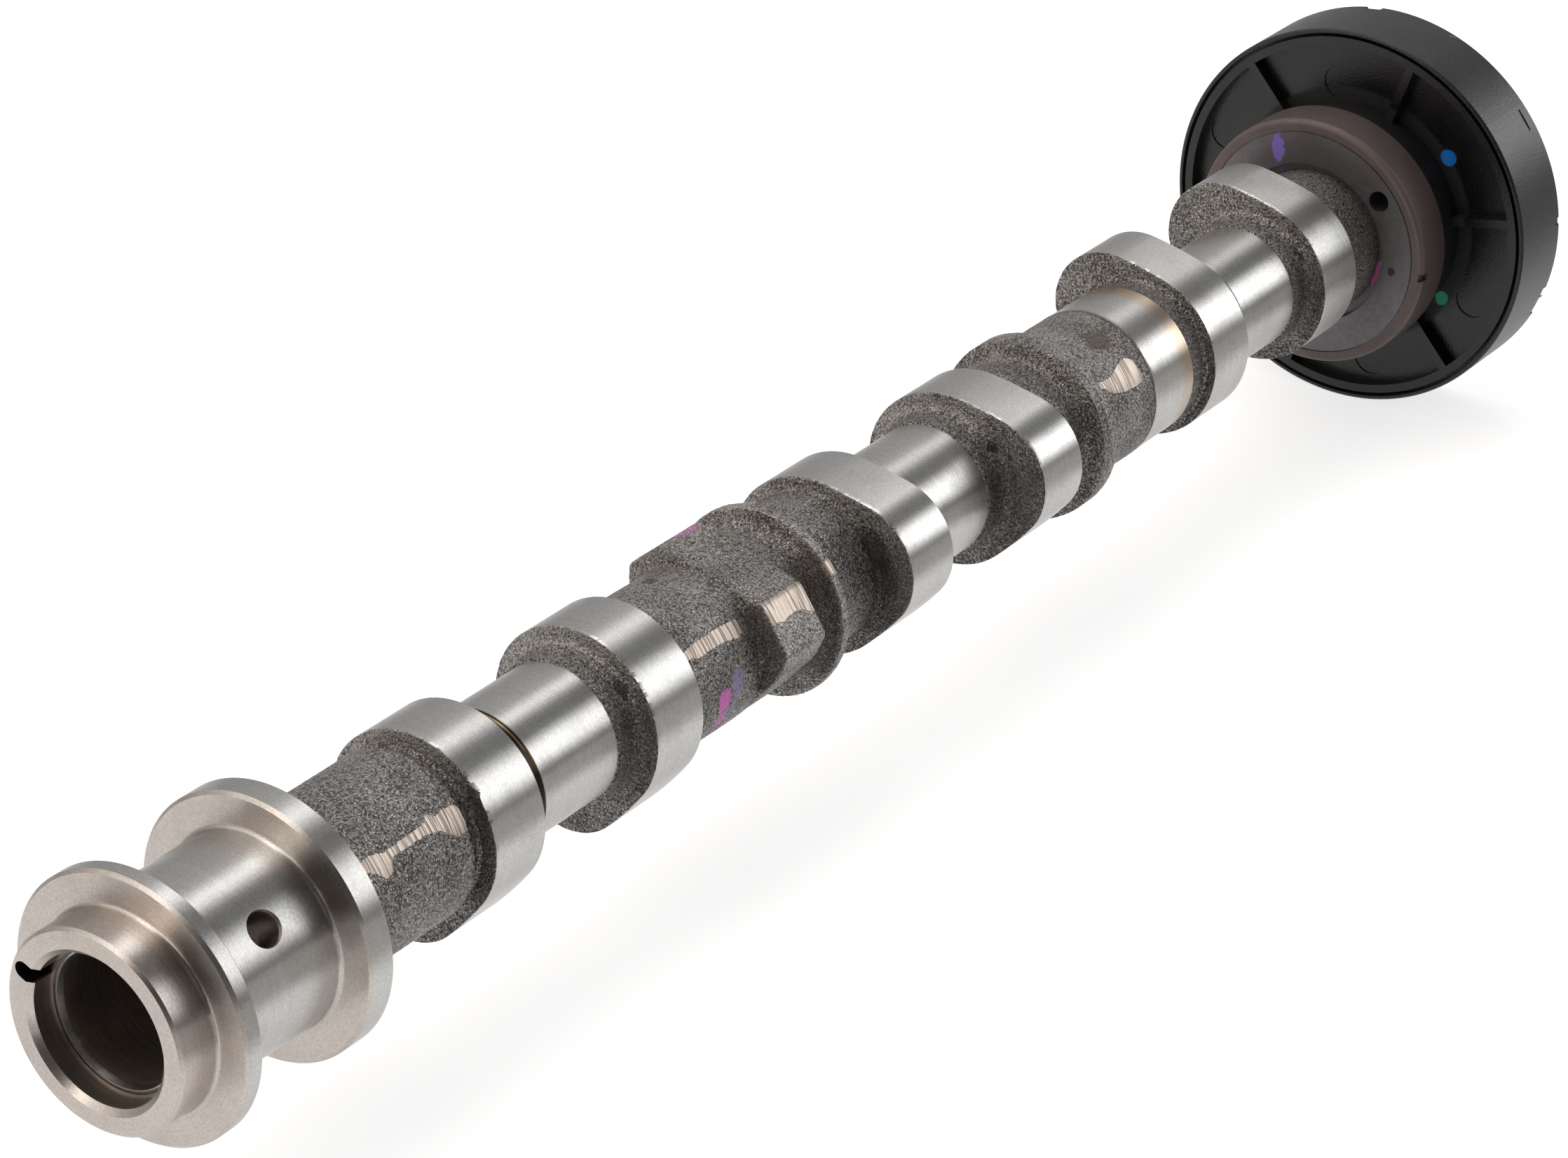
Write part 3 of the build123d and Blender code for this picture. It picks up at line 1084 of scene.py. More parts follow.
@dataclass
class Nose:
    """Front of the shaft: bored nose, two flanges, the front bearing, its oil hole and the slot."""

    nose_radius: float = 16.4
    nose_face: float = 15.9
    journal_radius: float = 16.2
    flange_radius: float = 21.9
    front_flange: tuple[float, float] = (7.5, 11.0)
    rear_flange: tuple[float, float] = (34.5, 39.9)
    rear_face: float = 13.0
    bevel: float = 0.55
    fillet: float = 0.9
    root_radius: float = 17.0
    bore_radius: float = 10.7
    bore_depth: float = 32.0
    bore_point: float = 38.4
    seat_radius: float = 12.15
    seat_chamfer: float = 0.95
    seat_groove: tuple[float, float] = (11.25, 11.75)
    groove_depth: float = 0.5
    oil_station: float = 22.8
    oil_bearing: float = 2.4
    oil_radius: float = 2.75
    oil_flare: tuple[float, ...] = (0.0, 0.0, 0.35, 3.0)
    oil_depths: tuple[float, ...] = (9.0, 15.7, 16.2, 19.0)
    drill_steps: int = 96
    slot_bearing: float = -113.5
    slot_width: float = 2.8
    slot_reach: float = 15.6
    slot_inside: float = 9.0
    slot_steps: int = 32
    overshoot: float = 2.0
    seat_depth: float = 4.5
    columns: int = 448

    def profile(self) -> list[Stop]:
        """Follows the nose from the bottom of the bore, out over the nose and back to the second flange's rear.

        Returns:
            The profile's stops.
        """
        G, B = Finish.GROUND, Finish.BORED
        b, f, w, root = self.bevel, self.flange_radius, self.fillet, self.root_radius
        d, cut, seat = self.seat_depth, self.seat_depth + self.groove_depth, self.seat_radius
        inner, outer = self.seat_groove
        start, end = self.front_flange
        rear_start, rear_end = self.rear_flange
        run = [Stop(self.bore_point, 0.0, 1, B), Stop(self.bore_depth, self.bore_radius, 6, B)]
        run += [Stop(d + 1.1, self.bore_radius, 10, B), Stop(d, 11.0, 2, G), Stop(d, inner, 1, G)]
        run += [Stop(cut, inner, 2, B), Stop(cut, outer, 2, B), Stop(d, outer, 2, G), Stop(d, seat, 2, G)]
        run += [Stop(self.seat_chamfer, seat, 4, B), Stop(0.0, seat + self.seat_chamfer, 3, G)]
        run += [Stop(0.0, self.nose_face, 4, G), Stop(0.5, self.nose_radius, 3, G)]
        run += [Stop(start - w, self.nose_radius, 5, G)]
        run += hollow((start - w, self.nose_radius), (start, root), 6, G)
        run += [Stop(start, f - b, 5, G), Stop(start + b, f, 3, G), Stop(end - b, f, 2, G), Stop(end, f - b, 3, G)]
        run += [Stop(end, root, 5, G)]
        run += hollow((end, root), (end + w, self.journal_radius), 6, G)
        run += [Stop(rear_start - w, self.journal_radius, 30, G)]
        run += hollow((rear_start - w, self.journal_radius), (rear_start, root), 6, G)
        run += [Stop(rear_start, f - b, 5, G), Stop(rear_start + b, f, 3, G), Stop(rear_end - b, f, 3, G)]
        run += [Stop(rear_end, f - b, 3, G), Stop(rear_end, self.rear_face, 8, G), Stop(rear_end, 0.0, 3, G)]
        return run

    def build(self, finishes: Sequence[bpy.types.Material]) -> bpy.types.Object:
        """Makes the nose and cuts its slot and oil hole.

        Args:
            finishes: the shaft's materials.

        Returns:
            The object.
        """
        skin = Skin.sweep(self.profile(), self.columns)
        blank_marks(skin)
        start = self.front_flange[0]
        skin.marks["turned"] = soft_box(skin.station, -1.0, start - 0.1, 0.3) * (skin.radius > 15.5)
        made = dress(skin, "nose_and_front_bearing", finishes)
        for tool in (self.slot_tool(), self.drill()):
            tool.data.materials.append(finishes[Finish.BORED.value])
            self.cut(made, tool)
        made.data.shade_smooth()
        made.data.set_sharp_from_angle(angle=math.radians(CUT_SHARP))
        return made

    def tube(
        self, name: str, middle: Array, axis: Array, radii: Sequence[float], depths: Sequence[float]
    ) -> bpy.types.Object:
        """Round cutting tool: circles of given radii at given depths along an axis, closed at both ends.

        Args:
            name: its name.
            middle: a point on its axis, in metres.
            axis: unit direction of its axis.
            radii: millimetres.
            depths: millimetres along the axis from the point.

        Returns:
            The tool's object.
        """
        side = np.cross(axis, (0.31, 0.52, 0.79))
        side = side / np.linalg.norm(side)
        other = np.cross(axis, side)
        turn = np.arange(self.drill_steps) * (2 * math.pi / self.drill_steps)
        ring = np.cos(turn)[:, None] * side + np.sin(turn)[:, None] * other
        grid = middle + np.array(depths)[:, None, None] * MM * axis + np.array(radii)[:, None, None] * MM * ring
        return self.tool(name, grid)

    def slot_tool(self) -> bpy.types.Object:
        """Round-ended bar that cuts the slot: a stadium outline carried through the seat's depth.

        Returns:
            The tool's object.
        """
        half = self.slot_width / 2
        turn = np.linspace(-math.pi / 2, math.pi / 2, self.slot_steps + 1)
        far = np.stack((self.slot_reach - half + half * np.cos(turn), half * np.sin(turn)), axis=-1)
        outline = np.vstack((far, [(self.slot_inside, half), (self.slot_inside, -half)]))
        outward, around = spokes(self.slot_bearing)
        flat = (outline[:, :1] * outward + outline[:, 1:] * around) * MM
        ends = np.array((-self.overshoot - DATUM, self.seat_depth - DATUM)) * MM
        grid = flat[None] + ends[:, None, None] * np.array((1.0, 0.0, 0.0))
        return self.tool("slot_tool", grid)

    def drill(self) -> bpy.types.Object:
        """Drill of the oil hole, with a flare that breaks the hole's edge.

        Returns:
            The tool's object.
        """
        axis, _ = spokes(self.oil_bearing)
        middle = np.array(((self.oil_station - DATUM) * MM, 0.0, 0.0))
        radii = [self.oil_radius + flare for flare in self.oil_flare]
        return self.tube("oil_drill", middle, axis, radii, self.oil_depths)

    def tool(self, name: str, grid: Array) -> bpy.types.Object:
        """Closes a grid of rings with flat ends and makes it an object.

        Args:
            name: its name.
            grid: rings of points in metres.

        Returns:
            The object.
        """
        rings, steps = grid.shape[:2]
        index = np.arange(rings * steps).reshape(rings, steps)
        faces = weave(index).tolist() + [index[0][::-1].tolist(), index[-1].tolist()]
        mesh = bpy.data.meshes.new(name)
        mesh.from_pydata(grid.reshape(-1, 3).tolist(), [], faces)
        mesh.update()
        shape = bpy.data.objects.new(name, mesh)
        bpy.context.scene.collection.objects.link(shape)
        make_outward(mesh)
        return shape

    def cut(self, made: bpy.types.Object, tool: bpy.types.Object) -> None:
        """Takes a tool's shape out of a piece for good and removes the tool.

        Args:
            made: the piece.
            tool: the tool.
        """
        modifier = made.modifiers.new("cut", "BOOLEAN")
        modifier.operation = "DIFFERENCE"
        modifier.solver = "EXACT"
        modifier.material_mode = "TRANSFER"
        modifier.object = tool
        graph = bpy.context.evaluated_depsgraph_get()
        graph.update()
        after = made.evaluated_get(graph)
        result = bpy.data.meshes.new_from_object(after, preserve_all_data_layers=True, depsgraph=graph)
        made.modifiers.remove(modifier)
        before = made.data
        made.data = result
        bpy.data.meshes.remove(before)
        shape = tool.data
        bpy.data.objects.remove(tool)
        bpy.data.meshes.remove(shape)


def make_outward(mesh: bpy.types.Mesh) -> None:
    """Turns a closed mesh's faces outward when the signed volume of its triangles is negative.

    Args:
        mesh: the mesh.
    """
    mesh.calc_loop_triangles()
    corners = np.zeros(len(mesh.loop_triangles) * 3, dtype=np.int32)
    mesh.loop_triangles.foreach_get("vertices", corners)
    spots = np.zeros(len(mesh.vertices) * 3)
    mesh.vertices.foreach_get("co", spots)
    corner = spots.reshape(-1, 3)[corners.reshape(-1, 3)]
    corner = corner - spots.reshape(-1, 3).mean(axis=0)
    volume = np.einsum("ij,ij->i", corner[:, 0], np.cross(corner[:, 1], corner[:, 2])).sum()
    if volume < 0:
        mesh.flip_normals()


def inlet(start: float, reach: float, radius: float) -> list[Stop]:
    """Closed end inside the piece in front, and the hollow that leads from it down to a neck.

    Args:
        start: station where the piece starts.
        reach: length of the hollow behind it.
        radius: the neck's.

    Returns:
        The first stops of the piece.
    """
    run = [Stop(start - LAP, 0.0, 1, Finish.CAST), Stop(start - LAP, 15.2, 2, Finish.CAST)]
    return run + hollow((start - 0.2, 15.2), (start + reach, radius), 6, Finish.CAST)


def outlet(end: float, reach: float, radius: float, top: float) -> list[Stop]:
    """Hollow that leads from a neck up to the piece behind, and the closed end inside that piece.

    Args:
        end: station where the piece ends.
        reach: length of the hollow before it.
        radius: the neck's.
        top: radius at the hollow's end.

    Returns:
        The last stops of the piece.
    """
    run = hollow((end - reach, radius), (end + 0.1, top), 7, Finish.CAST)
    return run + [Stop(end + LAP, top - 0.4, 2, Finish.CAST), Stop(end + LAP, 0.0, 2, Finish.CAST)]


def rim(middle: float, half: float, radius: float, drop: float, rows: int) -> list[Stop]:
    """Runs over the rim of a cast disc, whose two edges are broken.

    Args:
        middle: station of the disc's middle.
        half: half the width of its rim.
        radius: the rim's.
        drop: how much lower its edges are.
        rows: how many rows lie across it.

    Returns:
        The stops from one edge to the other.
    """
    C = Finish.CAST
    front, back = middle - half, middle + half
    run = [Stop(front - 0.2, radius - drop, 4, C), Stop(front, radius, 1, C)]
    return run + [Stop(back, radius, rows, C), Stop(back + 0.2, radius - drop, 1, C)]


@dataclass
class FrontNeck:
    """Cast neck between the second flange and the first lobe, with its parting strip."""

    radius: float = 14.35
    groove: float = 12.9
    groove_width: float = 2.6
    start: float = 39.9
    end: float = 70.9
    strip: Strip = Strip((
        (45.0, 2.0), (46.2, 1.0), (48.0, -0.1), (50.8, 3.7), (53.3, 3.1), (60.5, 2.0), (61.6, -2.1), (63.0, 2.0),
        (64.9, 0.7), (67.5, 2.5), (68.6, 10.0), (67.8, 20.6), (65.5, 20.6), (62.8, 11.9), (60.4, 8.9), (53.5, 8.6),
        (51.8, 9.1), (50.6, 17.6), (49.2, 18.0), (47.4, 11.1), (45.0, 6.0),
    ))
    relief: Relief = Relief(11)

    def build(self, finishes: Sequence[bpy.types.Material]) -> bpy.types.Object:
        """Makes the neck.

        Args:
            finishes: the shaft's materials.

        Returns:
            The object.
        """
        C = Finish.CAST
        r, low, end = self.radius, self.groove, self.end
        edge = end - self.groove_width
        run = [Stop(self.start - LAP, 0.0, 1, C), Stop(self.start - LAP, 16.2, 2, C), Stop(self.start, 15.9, 3, C)]
        run += hollow((self.start, 15.7), (self.start + 1.3, r), 6, C)
        run += [Stop(edge - 0.9, r, 96, C), Stop(edge - 0.35, r - 0.13, 2, C), Stop(edge, r - 0.6, 3, C)]
        run += [Stop(edge + 0.25, low + 0.4, 4, C), Stop(edge + 0.7, low, 2, C), Stop(end - 0.5, low, 4, C)]
        run += [Stop(end, low + 0.5, 2, C), Stop(end + 0.5, low + 0.5, 1, C), Stop(end + 0.5, 0.0, 2, C)]
        skin = Skin.sweep(run)
        keep = grind_strips(skin, [self.strip])
        skin.roughen(self.relief.height, keep * soft_box(skin.station, self.start, self.end, RELIEF_EDGE))
        ridge_strips(skin)
        return dress(skin, "front_neck", finishes)


@dataclass
class LobePair:
    """Two lobes of one cylinder with the ground bearing journal between them."""

    front: float
    tip: float
    seed: int
    name: str
    inlet: float = 13.0
    form: CamForm = CamForm()
    width: float = 12.2
    gap: float = 40.8
    journal: float = 12.0
    land: tuple[float, float] = (17.5, 36.0)
    corner: float = 12.4
    top: float = 14.2
    fillet: float = 2.4
    bevel: float = 0.10
    groove: bool = False
    groove_shadow_end: float = 17.0
    painted_glint_band: tuple[float, float] = (16.15, 16.45)
    nick: float = 0.0
    nick_bearing: float = 4.6

    def ragged(self, bearing: Array, seed: int) -> Array:
        """How far the ground face stands back from the cast one: a noise round the edge, never negative.

        Args:
            bearing: degrees round the shaft.
            seed: picks the noise.

        Returns:
            Millimetres along the shaft.
        """
        turn = np.radians(bearing)
        ring = np.stack((16.0 * np.cos(turn), 16.0 * np.sin(turn), 0 * turn), axis=-1)
        rough = lattice_noise(ring, 0.9, seed) + 0.8 * lattice_noise(ring, 2.4, seed + 1)
        return 0.13 * np.clip(rough + 0.2, 0.0, 2.0)

    def lobe(self, front: float, outer: Array, end: float) -> list[Stop]:
        """Runs up one side of a lobe, across its ground face and down the other side.

        Args:
            front: station of its front face.
            outer: its outline.
            end: radius that it ends at.

        Returns:
            The stops after the start.
        """
        G, C = Finish.GROUND, Finish.CAST
        b = self.bevel
        bearing = bearings()
        near = self.ragged(bearing, self.seed + int(front))
        if front < self.front + 1.0:
            near = near + self.nick * np.exp(-(((bearing - self.nick_bearing) / 1.4) ** 2))
        back = front + self.width
        run = [Stop(front, outer - b - near * 0.5, 20, C), Stop(front + b + near, outer, 2, C)]
        run += [Stop(back - b, outer, 14, G), Stop(back, outer - b, 1, G), Stop(back, end, 20, C)]
        return run

    def build(self, finishes: Sequence[bpy.types.Material]) -> bpy.types.Object:
        """Makes the pair.

        Args:
            finishes: the shaft's materials.

        Returns:
            The object.
        """
        G, C = Finish.GROUND, Finish.CAST
        bearing = bearings()
        outer = self.form.radius(bearing - self.tip)
        a = self.front
        b = a + self.gap
        w = self.width
        start, end = (a + station for station in self.land)
        run = [Stop(a + 0.3, 0.0, 1, C), Stop(a + 0.3, self.inlet - 0.6, 2, C), Stop(a, self.inlet, 2, C)]
        run += self.lobe(a, outer, self.top)
        run += hollow((a + w, self.top), (a + w + self.fillet, self.corner), 8, C)
        run += [Stop(start - 0.2, self.corner, 16, G if self.groove else C), Stop(start, self.journal, 2, G)]
        run += [Stop(end, self.journal, 22, G), Stop(end + 0.15, self.corner, 2, C)]
        run += [Stop(b - self.fillet, self.corner, 8, C)]
        run += hollow((b - self.fillet, self.corner), (b, self.top), 8, C)
        run += self.lobe(b, outer, self.inlet)
        run += [Stop(b + w - 0.3, self.inlet - 0.6, 2, C), Stop(b + w - 0.3, 0.0, 2, C)]
        skin = Skin.sweep(run)
        blank_marks(skin)
        if self.groove:
            low, high = (a + station for station in self.painted_glint_band)
            # painted shadow: the groove behind the first lobe is darkened, except along a thin line that is painted
            # as a bronze glint
            groove_shadow_mask = soft_box(skin.station, a + w, a + self.groove_shadow_end, 0.2) * (skin.radius < 15.0)
            line = soft_box(skin.station, low, high, 0.2) * soft_box(skin.bearing, -75.0, -6.0, 14.0)
            skin.marks["painted_groove_shadow"] = groove_shadow_mask * (0.97 - 0.95 * line)
            skin.marks["stain_shade_and_glint"] = groove_shadow_mask
        iron = skin.rough()
        # painted shade: the cast sides are darkened at bearings 14 to 78
        shade = soft_box(skin.bearing, 14.0, 78.0, 26.0) * (skin.radius < outer - 0.02)
        skin.marks["stain_shade_and_glint"] = np.where(iron > 0.5, np.maximum(skin.marks["stain_shade_and_glint"], 0.62 * shade), skin.marks["stain_shade_and_glint"])
        # painted light: the cast sides are paler at bearings -125 to -18, less so toward the rear
        lit = iron * soft_box(skin.bearing, -125.0, -18.0, 20.0) * (skin.radius > self.inlet + 0.1)
        relief = Relief(self.seed, grain=0.085, grain_cell=0.85, lump=0.05)
        skin.roughen(relief.height, iron * np.clip((skin.radius - 11.0) / 1.0, 0.0, 1.0))
        skin.marks["relief_and_painted_light"] = np.clip(skin.marks["relief_and_painted_light"] + (1.0 - self.front / 330.0) * lit, 0.0, 1.8)
        return dress(skin, self.name, finishes)


@dataclass
class BlockNeck:
    """Cast length after the second lobe: neck, six-sided block, thin disc and neck to the third lobe."""

    radius: float = 13.7
    behind_radius: float = 13.3
    rear_radius: float = 13.5
    foot_radius: float = 15.6
    start: float = 123.9
    end: float = 176.9
    block: tuple[float, float] = (142.9, 154.3)
    disc: float = 162.3
    disc_half: float = 0.75
    disc_radius: float = 16.85
    sides: tuple[tuple[float, float], ...] = (
        (5.6, 16.2), (17.3, -1.0), (15.9, -10.4), (11.0, -12.6), (-2.0, -13.8),
        (-10.6, -12.4), (-15.4, -4.5), (-13.6, 4.0), (-2.4, 16.4),
    )
    sink: float = 0.25
    strips: tuple[Strip, ...] = (
        Strip((
            (124.6, 3.5), (126.9, 0.9), (128.5, -0.1), (131.7, 0.4), (134.2, -0.3), (136.6, 0.0), (140.1, 1.2),
            (140.6, 3.4), (140.2, 11.9), (138.8, 13.3), (135.8, 11.1), (134.0, 10.1), (131.1, 10.5), (128.3, 10.2),
            (127.3, 8.3), (124.8, 8.0),
        ), 13.7),
        Strip((
            (143.5, 2.3), (153.8, 2.5), (154.4, 4.5), (154.4, 18.4), (154.2, 21.8), (152.9, 20.1), (151.8, 17.4),
            (150.7, 15.9), (149.4, 15.3), (147.5, 16.2), (146.2, 16.9), (144.9, 15.1), (143.9, 16.8), (143.5, 14.0),
        ), 17.3),
        Strip((
            (161.3, 2.2), (163.6, 1.6), (165.6, 2.8), (166.9, 6.0), (165.8, 11.3), (164.0, 12.0), (161.3, 9.5),
        ), 16.5),
    )

    def outline(self, bearing: Array) -> Array:
        """Radius of the block at each bearing.

        Each side is a line whose distance from the axis and direction give the radius as distance over
        the cosine of the bearing's difference; the least of them is the outline, and a soft minimum over
        all sides rounds its corners.

        Args:
            bearing: degrees round the shaft.

        Returns:
            Radii in millimetres.
        """
        corners = np.array(self.sides)
        corners[:, 1] *= -1.0
        after = np.roll(corners, -1, axis=0)
        edge = after - corners
        normal = np.stack((-edge[:, 1], edge[:, 0]), axis=-1)
        normal = normal / np.linalg.norm(normal, axis=-1, keepdims=True)
        reach = (normal * corners).sum(axis=-1)
        normal = np.where(reach[:, None] < 0, -normal, normal)
        reach = np.abs(reach)
        turn = np.radians(bearing)
        ray = np.stack((np.cos(turn), np.sin(turn)), axis=-1)
        toward = ray @ normal.T / reach
        toward = np.maximum(toward, 1e-3)
        power = 60.0
        return (toward**power).sum(axis=-1) ** (-1.0 / power)

    def build(self, finishes: Sequence[bpy.types.Material]) -> bpy.types.Object:
        """Makes the length.

        Args:
            finishes: the shaft's materials.

        Returns:
            The object.
        """
        C = Finish.CAST
        hexed = self.outline(bearings())
        a, b = self.block
        neck = np.full(COLUMNS, self.radius)
        behind = np.full(COLUMNS, self.behind_radius)
        m, foot = self.disc, self.foot_radius
        low = hexed - 0.35
        run = inlet(self.start, 1.3, self.radius)
        run += [Stop(a - 0.7, neck, 58, C), Stop(a - 0.1, np.maximum(neck, neck * 0.85 + hexed * 0.15), 3, C)]
        run += [Stop(a + 0.05, np.maximum(neck - 0.3, low), 12, C), Stop(a + 0.4, hexed, 2, C)]
        run += [Stop(b - 0.4, hexed, 36, C), Stop(b - 0.05, np.maximum(behind, low), 2, C)]
        run += [Stop(b + 0.15, behind * 0.8 + hexed * 0.2, 9, C), Stop(b + 0.8, behind, 3, C)]
        run += [Stop(m - 4.0, 13.4, 6, C)]
        run += hollow((m - 4.0, 13.4), (m - 1.2, foot), 8, C)
        run += rim(m, self.disc_half, self.disc_radius, 0.15, 5)
        run += [Stop(m + 1.2, foot, 4, C)]
        run += hollow((m + 1.2, foot), (m + 3.9, self.rear_radius), 8, C)
        run += [Stop(self.end - 1.6, self.rear_radius, 28, C)]
        run += outlet(self.end, 1.2, self.rear_radius, 14.6)
        skin = Skin.sweep(run)
        lower(skin, (m - 5.0, m + 5.0, 5.0), self.sink)
        keep = grind_strips(skin, self.strips)
        relief = Relief(23, lump=0.09)
        skin.roughen(relief.height, keep * soft_box(skin.station, self.start, self.end, RELIEF_EDGE))
        # painted highlight: the disc's rim and a patch of the block's top are made paler
        lit = soft_box(skin.station, m - 1.1, m + 1.1, 0.3) * (skin.radius > 16.3)
        lit = np.maximum(lit, patch(skin, (a + 0.6, b - 0.6, 0.8), (16.0, 42.0, 6.0)))
        skin.marks["relief_and_painted_light"] = np.clip(skin.marks["relief_and_painted_light"] + 0.6 * lit, 0.0, 1.6)
        # painted shade: the block's front corner, the disc's front face and the neck's end before the third lobe are
        # darkened
        shade = patch(skin, (a - 0.9, a + 0.25, 0.2), (0.0, 60.0, 8.0))
        shade = np.maximum(shade, patch(skin, (b + 0.1, m - 0.9, 0.3), (-10.0, 80.0, 14.0)))
        shade = np.maximum(shade, patch(skin, (self.end - 1.0, self.end + 1.0, 0.4), (-6.0, 80.0, 14.0)))
        skin.marks["stain_shade_and_glint"] = 0.7 * shade
        ridge_strips(skin)
        return dress(skin, "block_and_front_disc", finishes)


@dataclass
class DiscNeck:
    """Cast length after the fourth lobe: thick disc, neck, and the ground ring before the fifth lobe."""

    start: float = 229.9
    end: float = 282.9
    disc: float = 244.8
    disc_half: float = 2.0
    disc_radius: float = 16.9
    front_radius: float = 13.5
    radius: float = 14.4
    ring: tuple[float, float] = (265.0, 278.0)
    ring_radius: float = 14.3
    sink: float = 0.3
    strip: Strip = Strip((
        (247.4, 3.6), (249.2, 2.1), (251.3, 3.1), (254.0, 3.2), (257.2, -1.1), (258.8, -2.9), (260.5, -1.8),
        (261.5, 1.2), (262.3, 15.6), (261.8, 18.8), (259.3, 19.1), (255.3, 17.8), (253.2, 15.5), (251.9, 13.2),
        (250.9, 8.1), (248.4, 6.4),
    ))

    def build(self, finishes: Sequence[bpy.types.Material]) -> bpy.types.Object:
        """Makes the length.

        Args:
            finishes: the shaft's materials.

        Returns:
            The object.
        """
        G, C = Finish.GROUND, Finish.CAST
        m, slim = self.disc, self.front_radius
        front, back = self.ring
        behind = self.ring_radius - 0.4
        run = inlet(self.start, 1.6, slim)
        run += [Stop(m - 4.6, slim, 22, C)]
        run += hollow((m - 4.6, slim), (m - 2.6, 15.4), 7, C)
        run += rim(m, self.disc_half, self.disc_radius, 0.2, 13)
        run += [Stop(m + 2.7, 15.6, 4, C)]
        run += hollow((m + 2.7, 15.6), (m + 4.8, self.radius), 7, C)
        run += [Stop(front - 0.15, self.radius, 48, C), Stop(front, self.ring_radius, 2, G)]
        run += [Stop(back, self.ring_radius, 16, G), Stop(back + 0.15, self.ring_radius - 0.35, 2, G)]
        run += [Stop(self.end - 1.6, behind, 11, C)]
        run += outlet(self.end, 1.0, behind, 14.8)
        skin = Skin.sweep(run)
        lower(skin, (m - 6.0, m + 6.0, 4.0), self.sink)
        keep = grind_strips(skin, [self.strip])
        wash = 0.40 + 0.30 * soft_box(skin.bearing, -75.0, 40.0, 35.0)
        skin.marks["stain_shade_and_glint"] = wash * soft_box(skin.station, 275.0, 279.5, 6.0)
        # painted shadow: a dark band on the last of the neck before the ring
        skin.marks["stain_shade_and_glint"] = np.maximum(skin.marks["stain_shade_and_glint"], 0.8 * soft_box(skin.station, 264.2, 264.95, 0.5))
        relief = Relief(31, lump=0.09)
        inside = soft_box(skin.station, self.start, self.end, RELIEF_EDGE)
        skin.roughen(relief.height, keep * skin.rough() * inside)
        # painted highlight: the disc's rim is made paler
        lit = soft_box(skin.station, m + 0.4, m + 2.4, 0.4) * (skin.radius > 16.3)
        skin.marks["relief_and_painted_light"] = np.clip(skin.marks["relief_and_painted_light"] + 0.5 * lit, 0.0, 1.6)
        ridge_strips(skin)
        return dress(skin, "rear_disc_and_ring", finishes)


@dataclass
class Collar:
    """Cast end of the shaft between the last lobe and the wheel's insert."""

    start: float = 335.9
    end: float = 347.6
    radius: float = 14.3
    tail_radius: float = 12.0
    tail_end: float = 374.6
    tail_bevel: float = 0.5
    centre: tuple[float, float] = (371.5, 3.2)

    def build(self, finishes: Sequence[bpy.types.Material]) -> bpy.types.Object:
        """Makes the collar and the shaft end inside the wheel.

        Args:
            finishes: the shaft's materials.

        Returns:
            The object.
        """
        G, C = Finish.GROUND, Finish.CAST
        tail, end, bevel = self.tail_radius, self.tail_end, self.tail_bevel
        bottom, mouth = self.centre
        run = inlet(self.start, 1.5, self.radius)
        run += [Stop(self.end, self.radius, 34, C), Stop(self.end, tail, 4, C), Stop(end - bevel, tail, 20, G)]
        run += [Stop(end, tail - bevel, 2, G), Stop(end, mouth, 8, G), Stop(bottom, 0.0, 6, G)]
        skin = Skin.sweep(run)
        blank_marks(skin)
        relief = Relief(41, lump=0.06)
        inside = soft_box(skin.station, self.start, self.end, 0.6) * (skin.radius > 13.0)
        skin.roughen(relief.height, inside)
        return dress(skin, "rear_collar", finishes)


# daubs of paint, and dark patches that are mostly painted shade

MAGENTA: Colour = (0.98, 0.22, 0.76, 1.0)
VIOLET: Colour = (0.42, 0.36, 0.70, 1.0)
PURPLE: Colour = (0.25, 0.17, 0.62, 1.0)
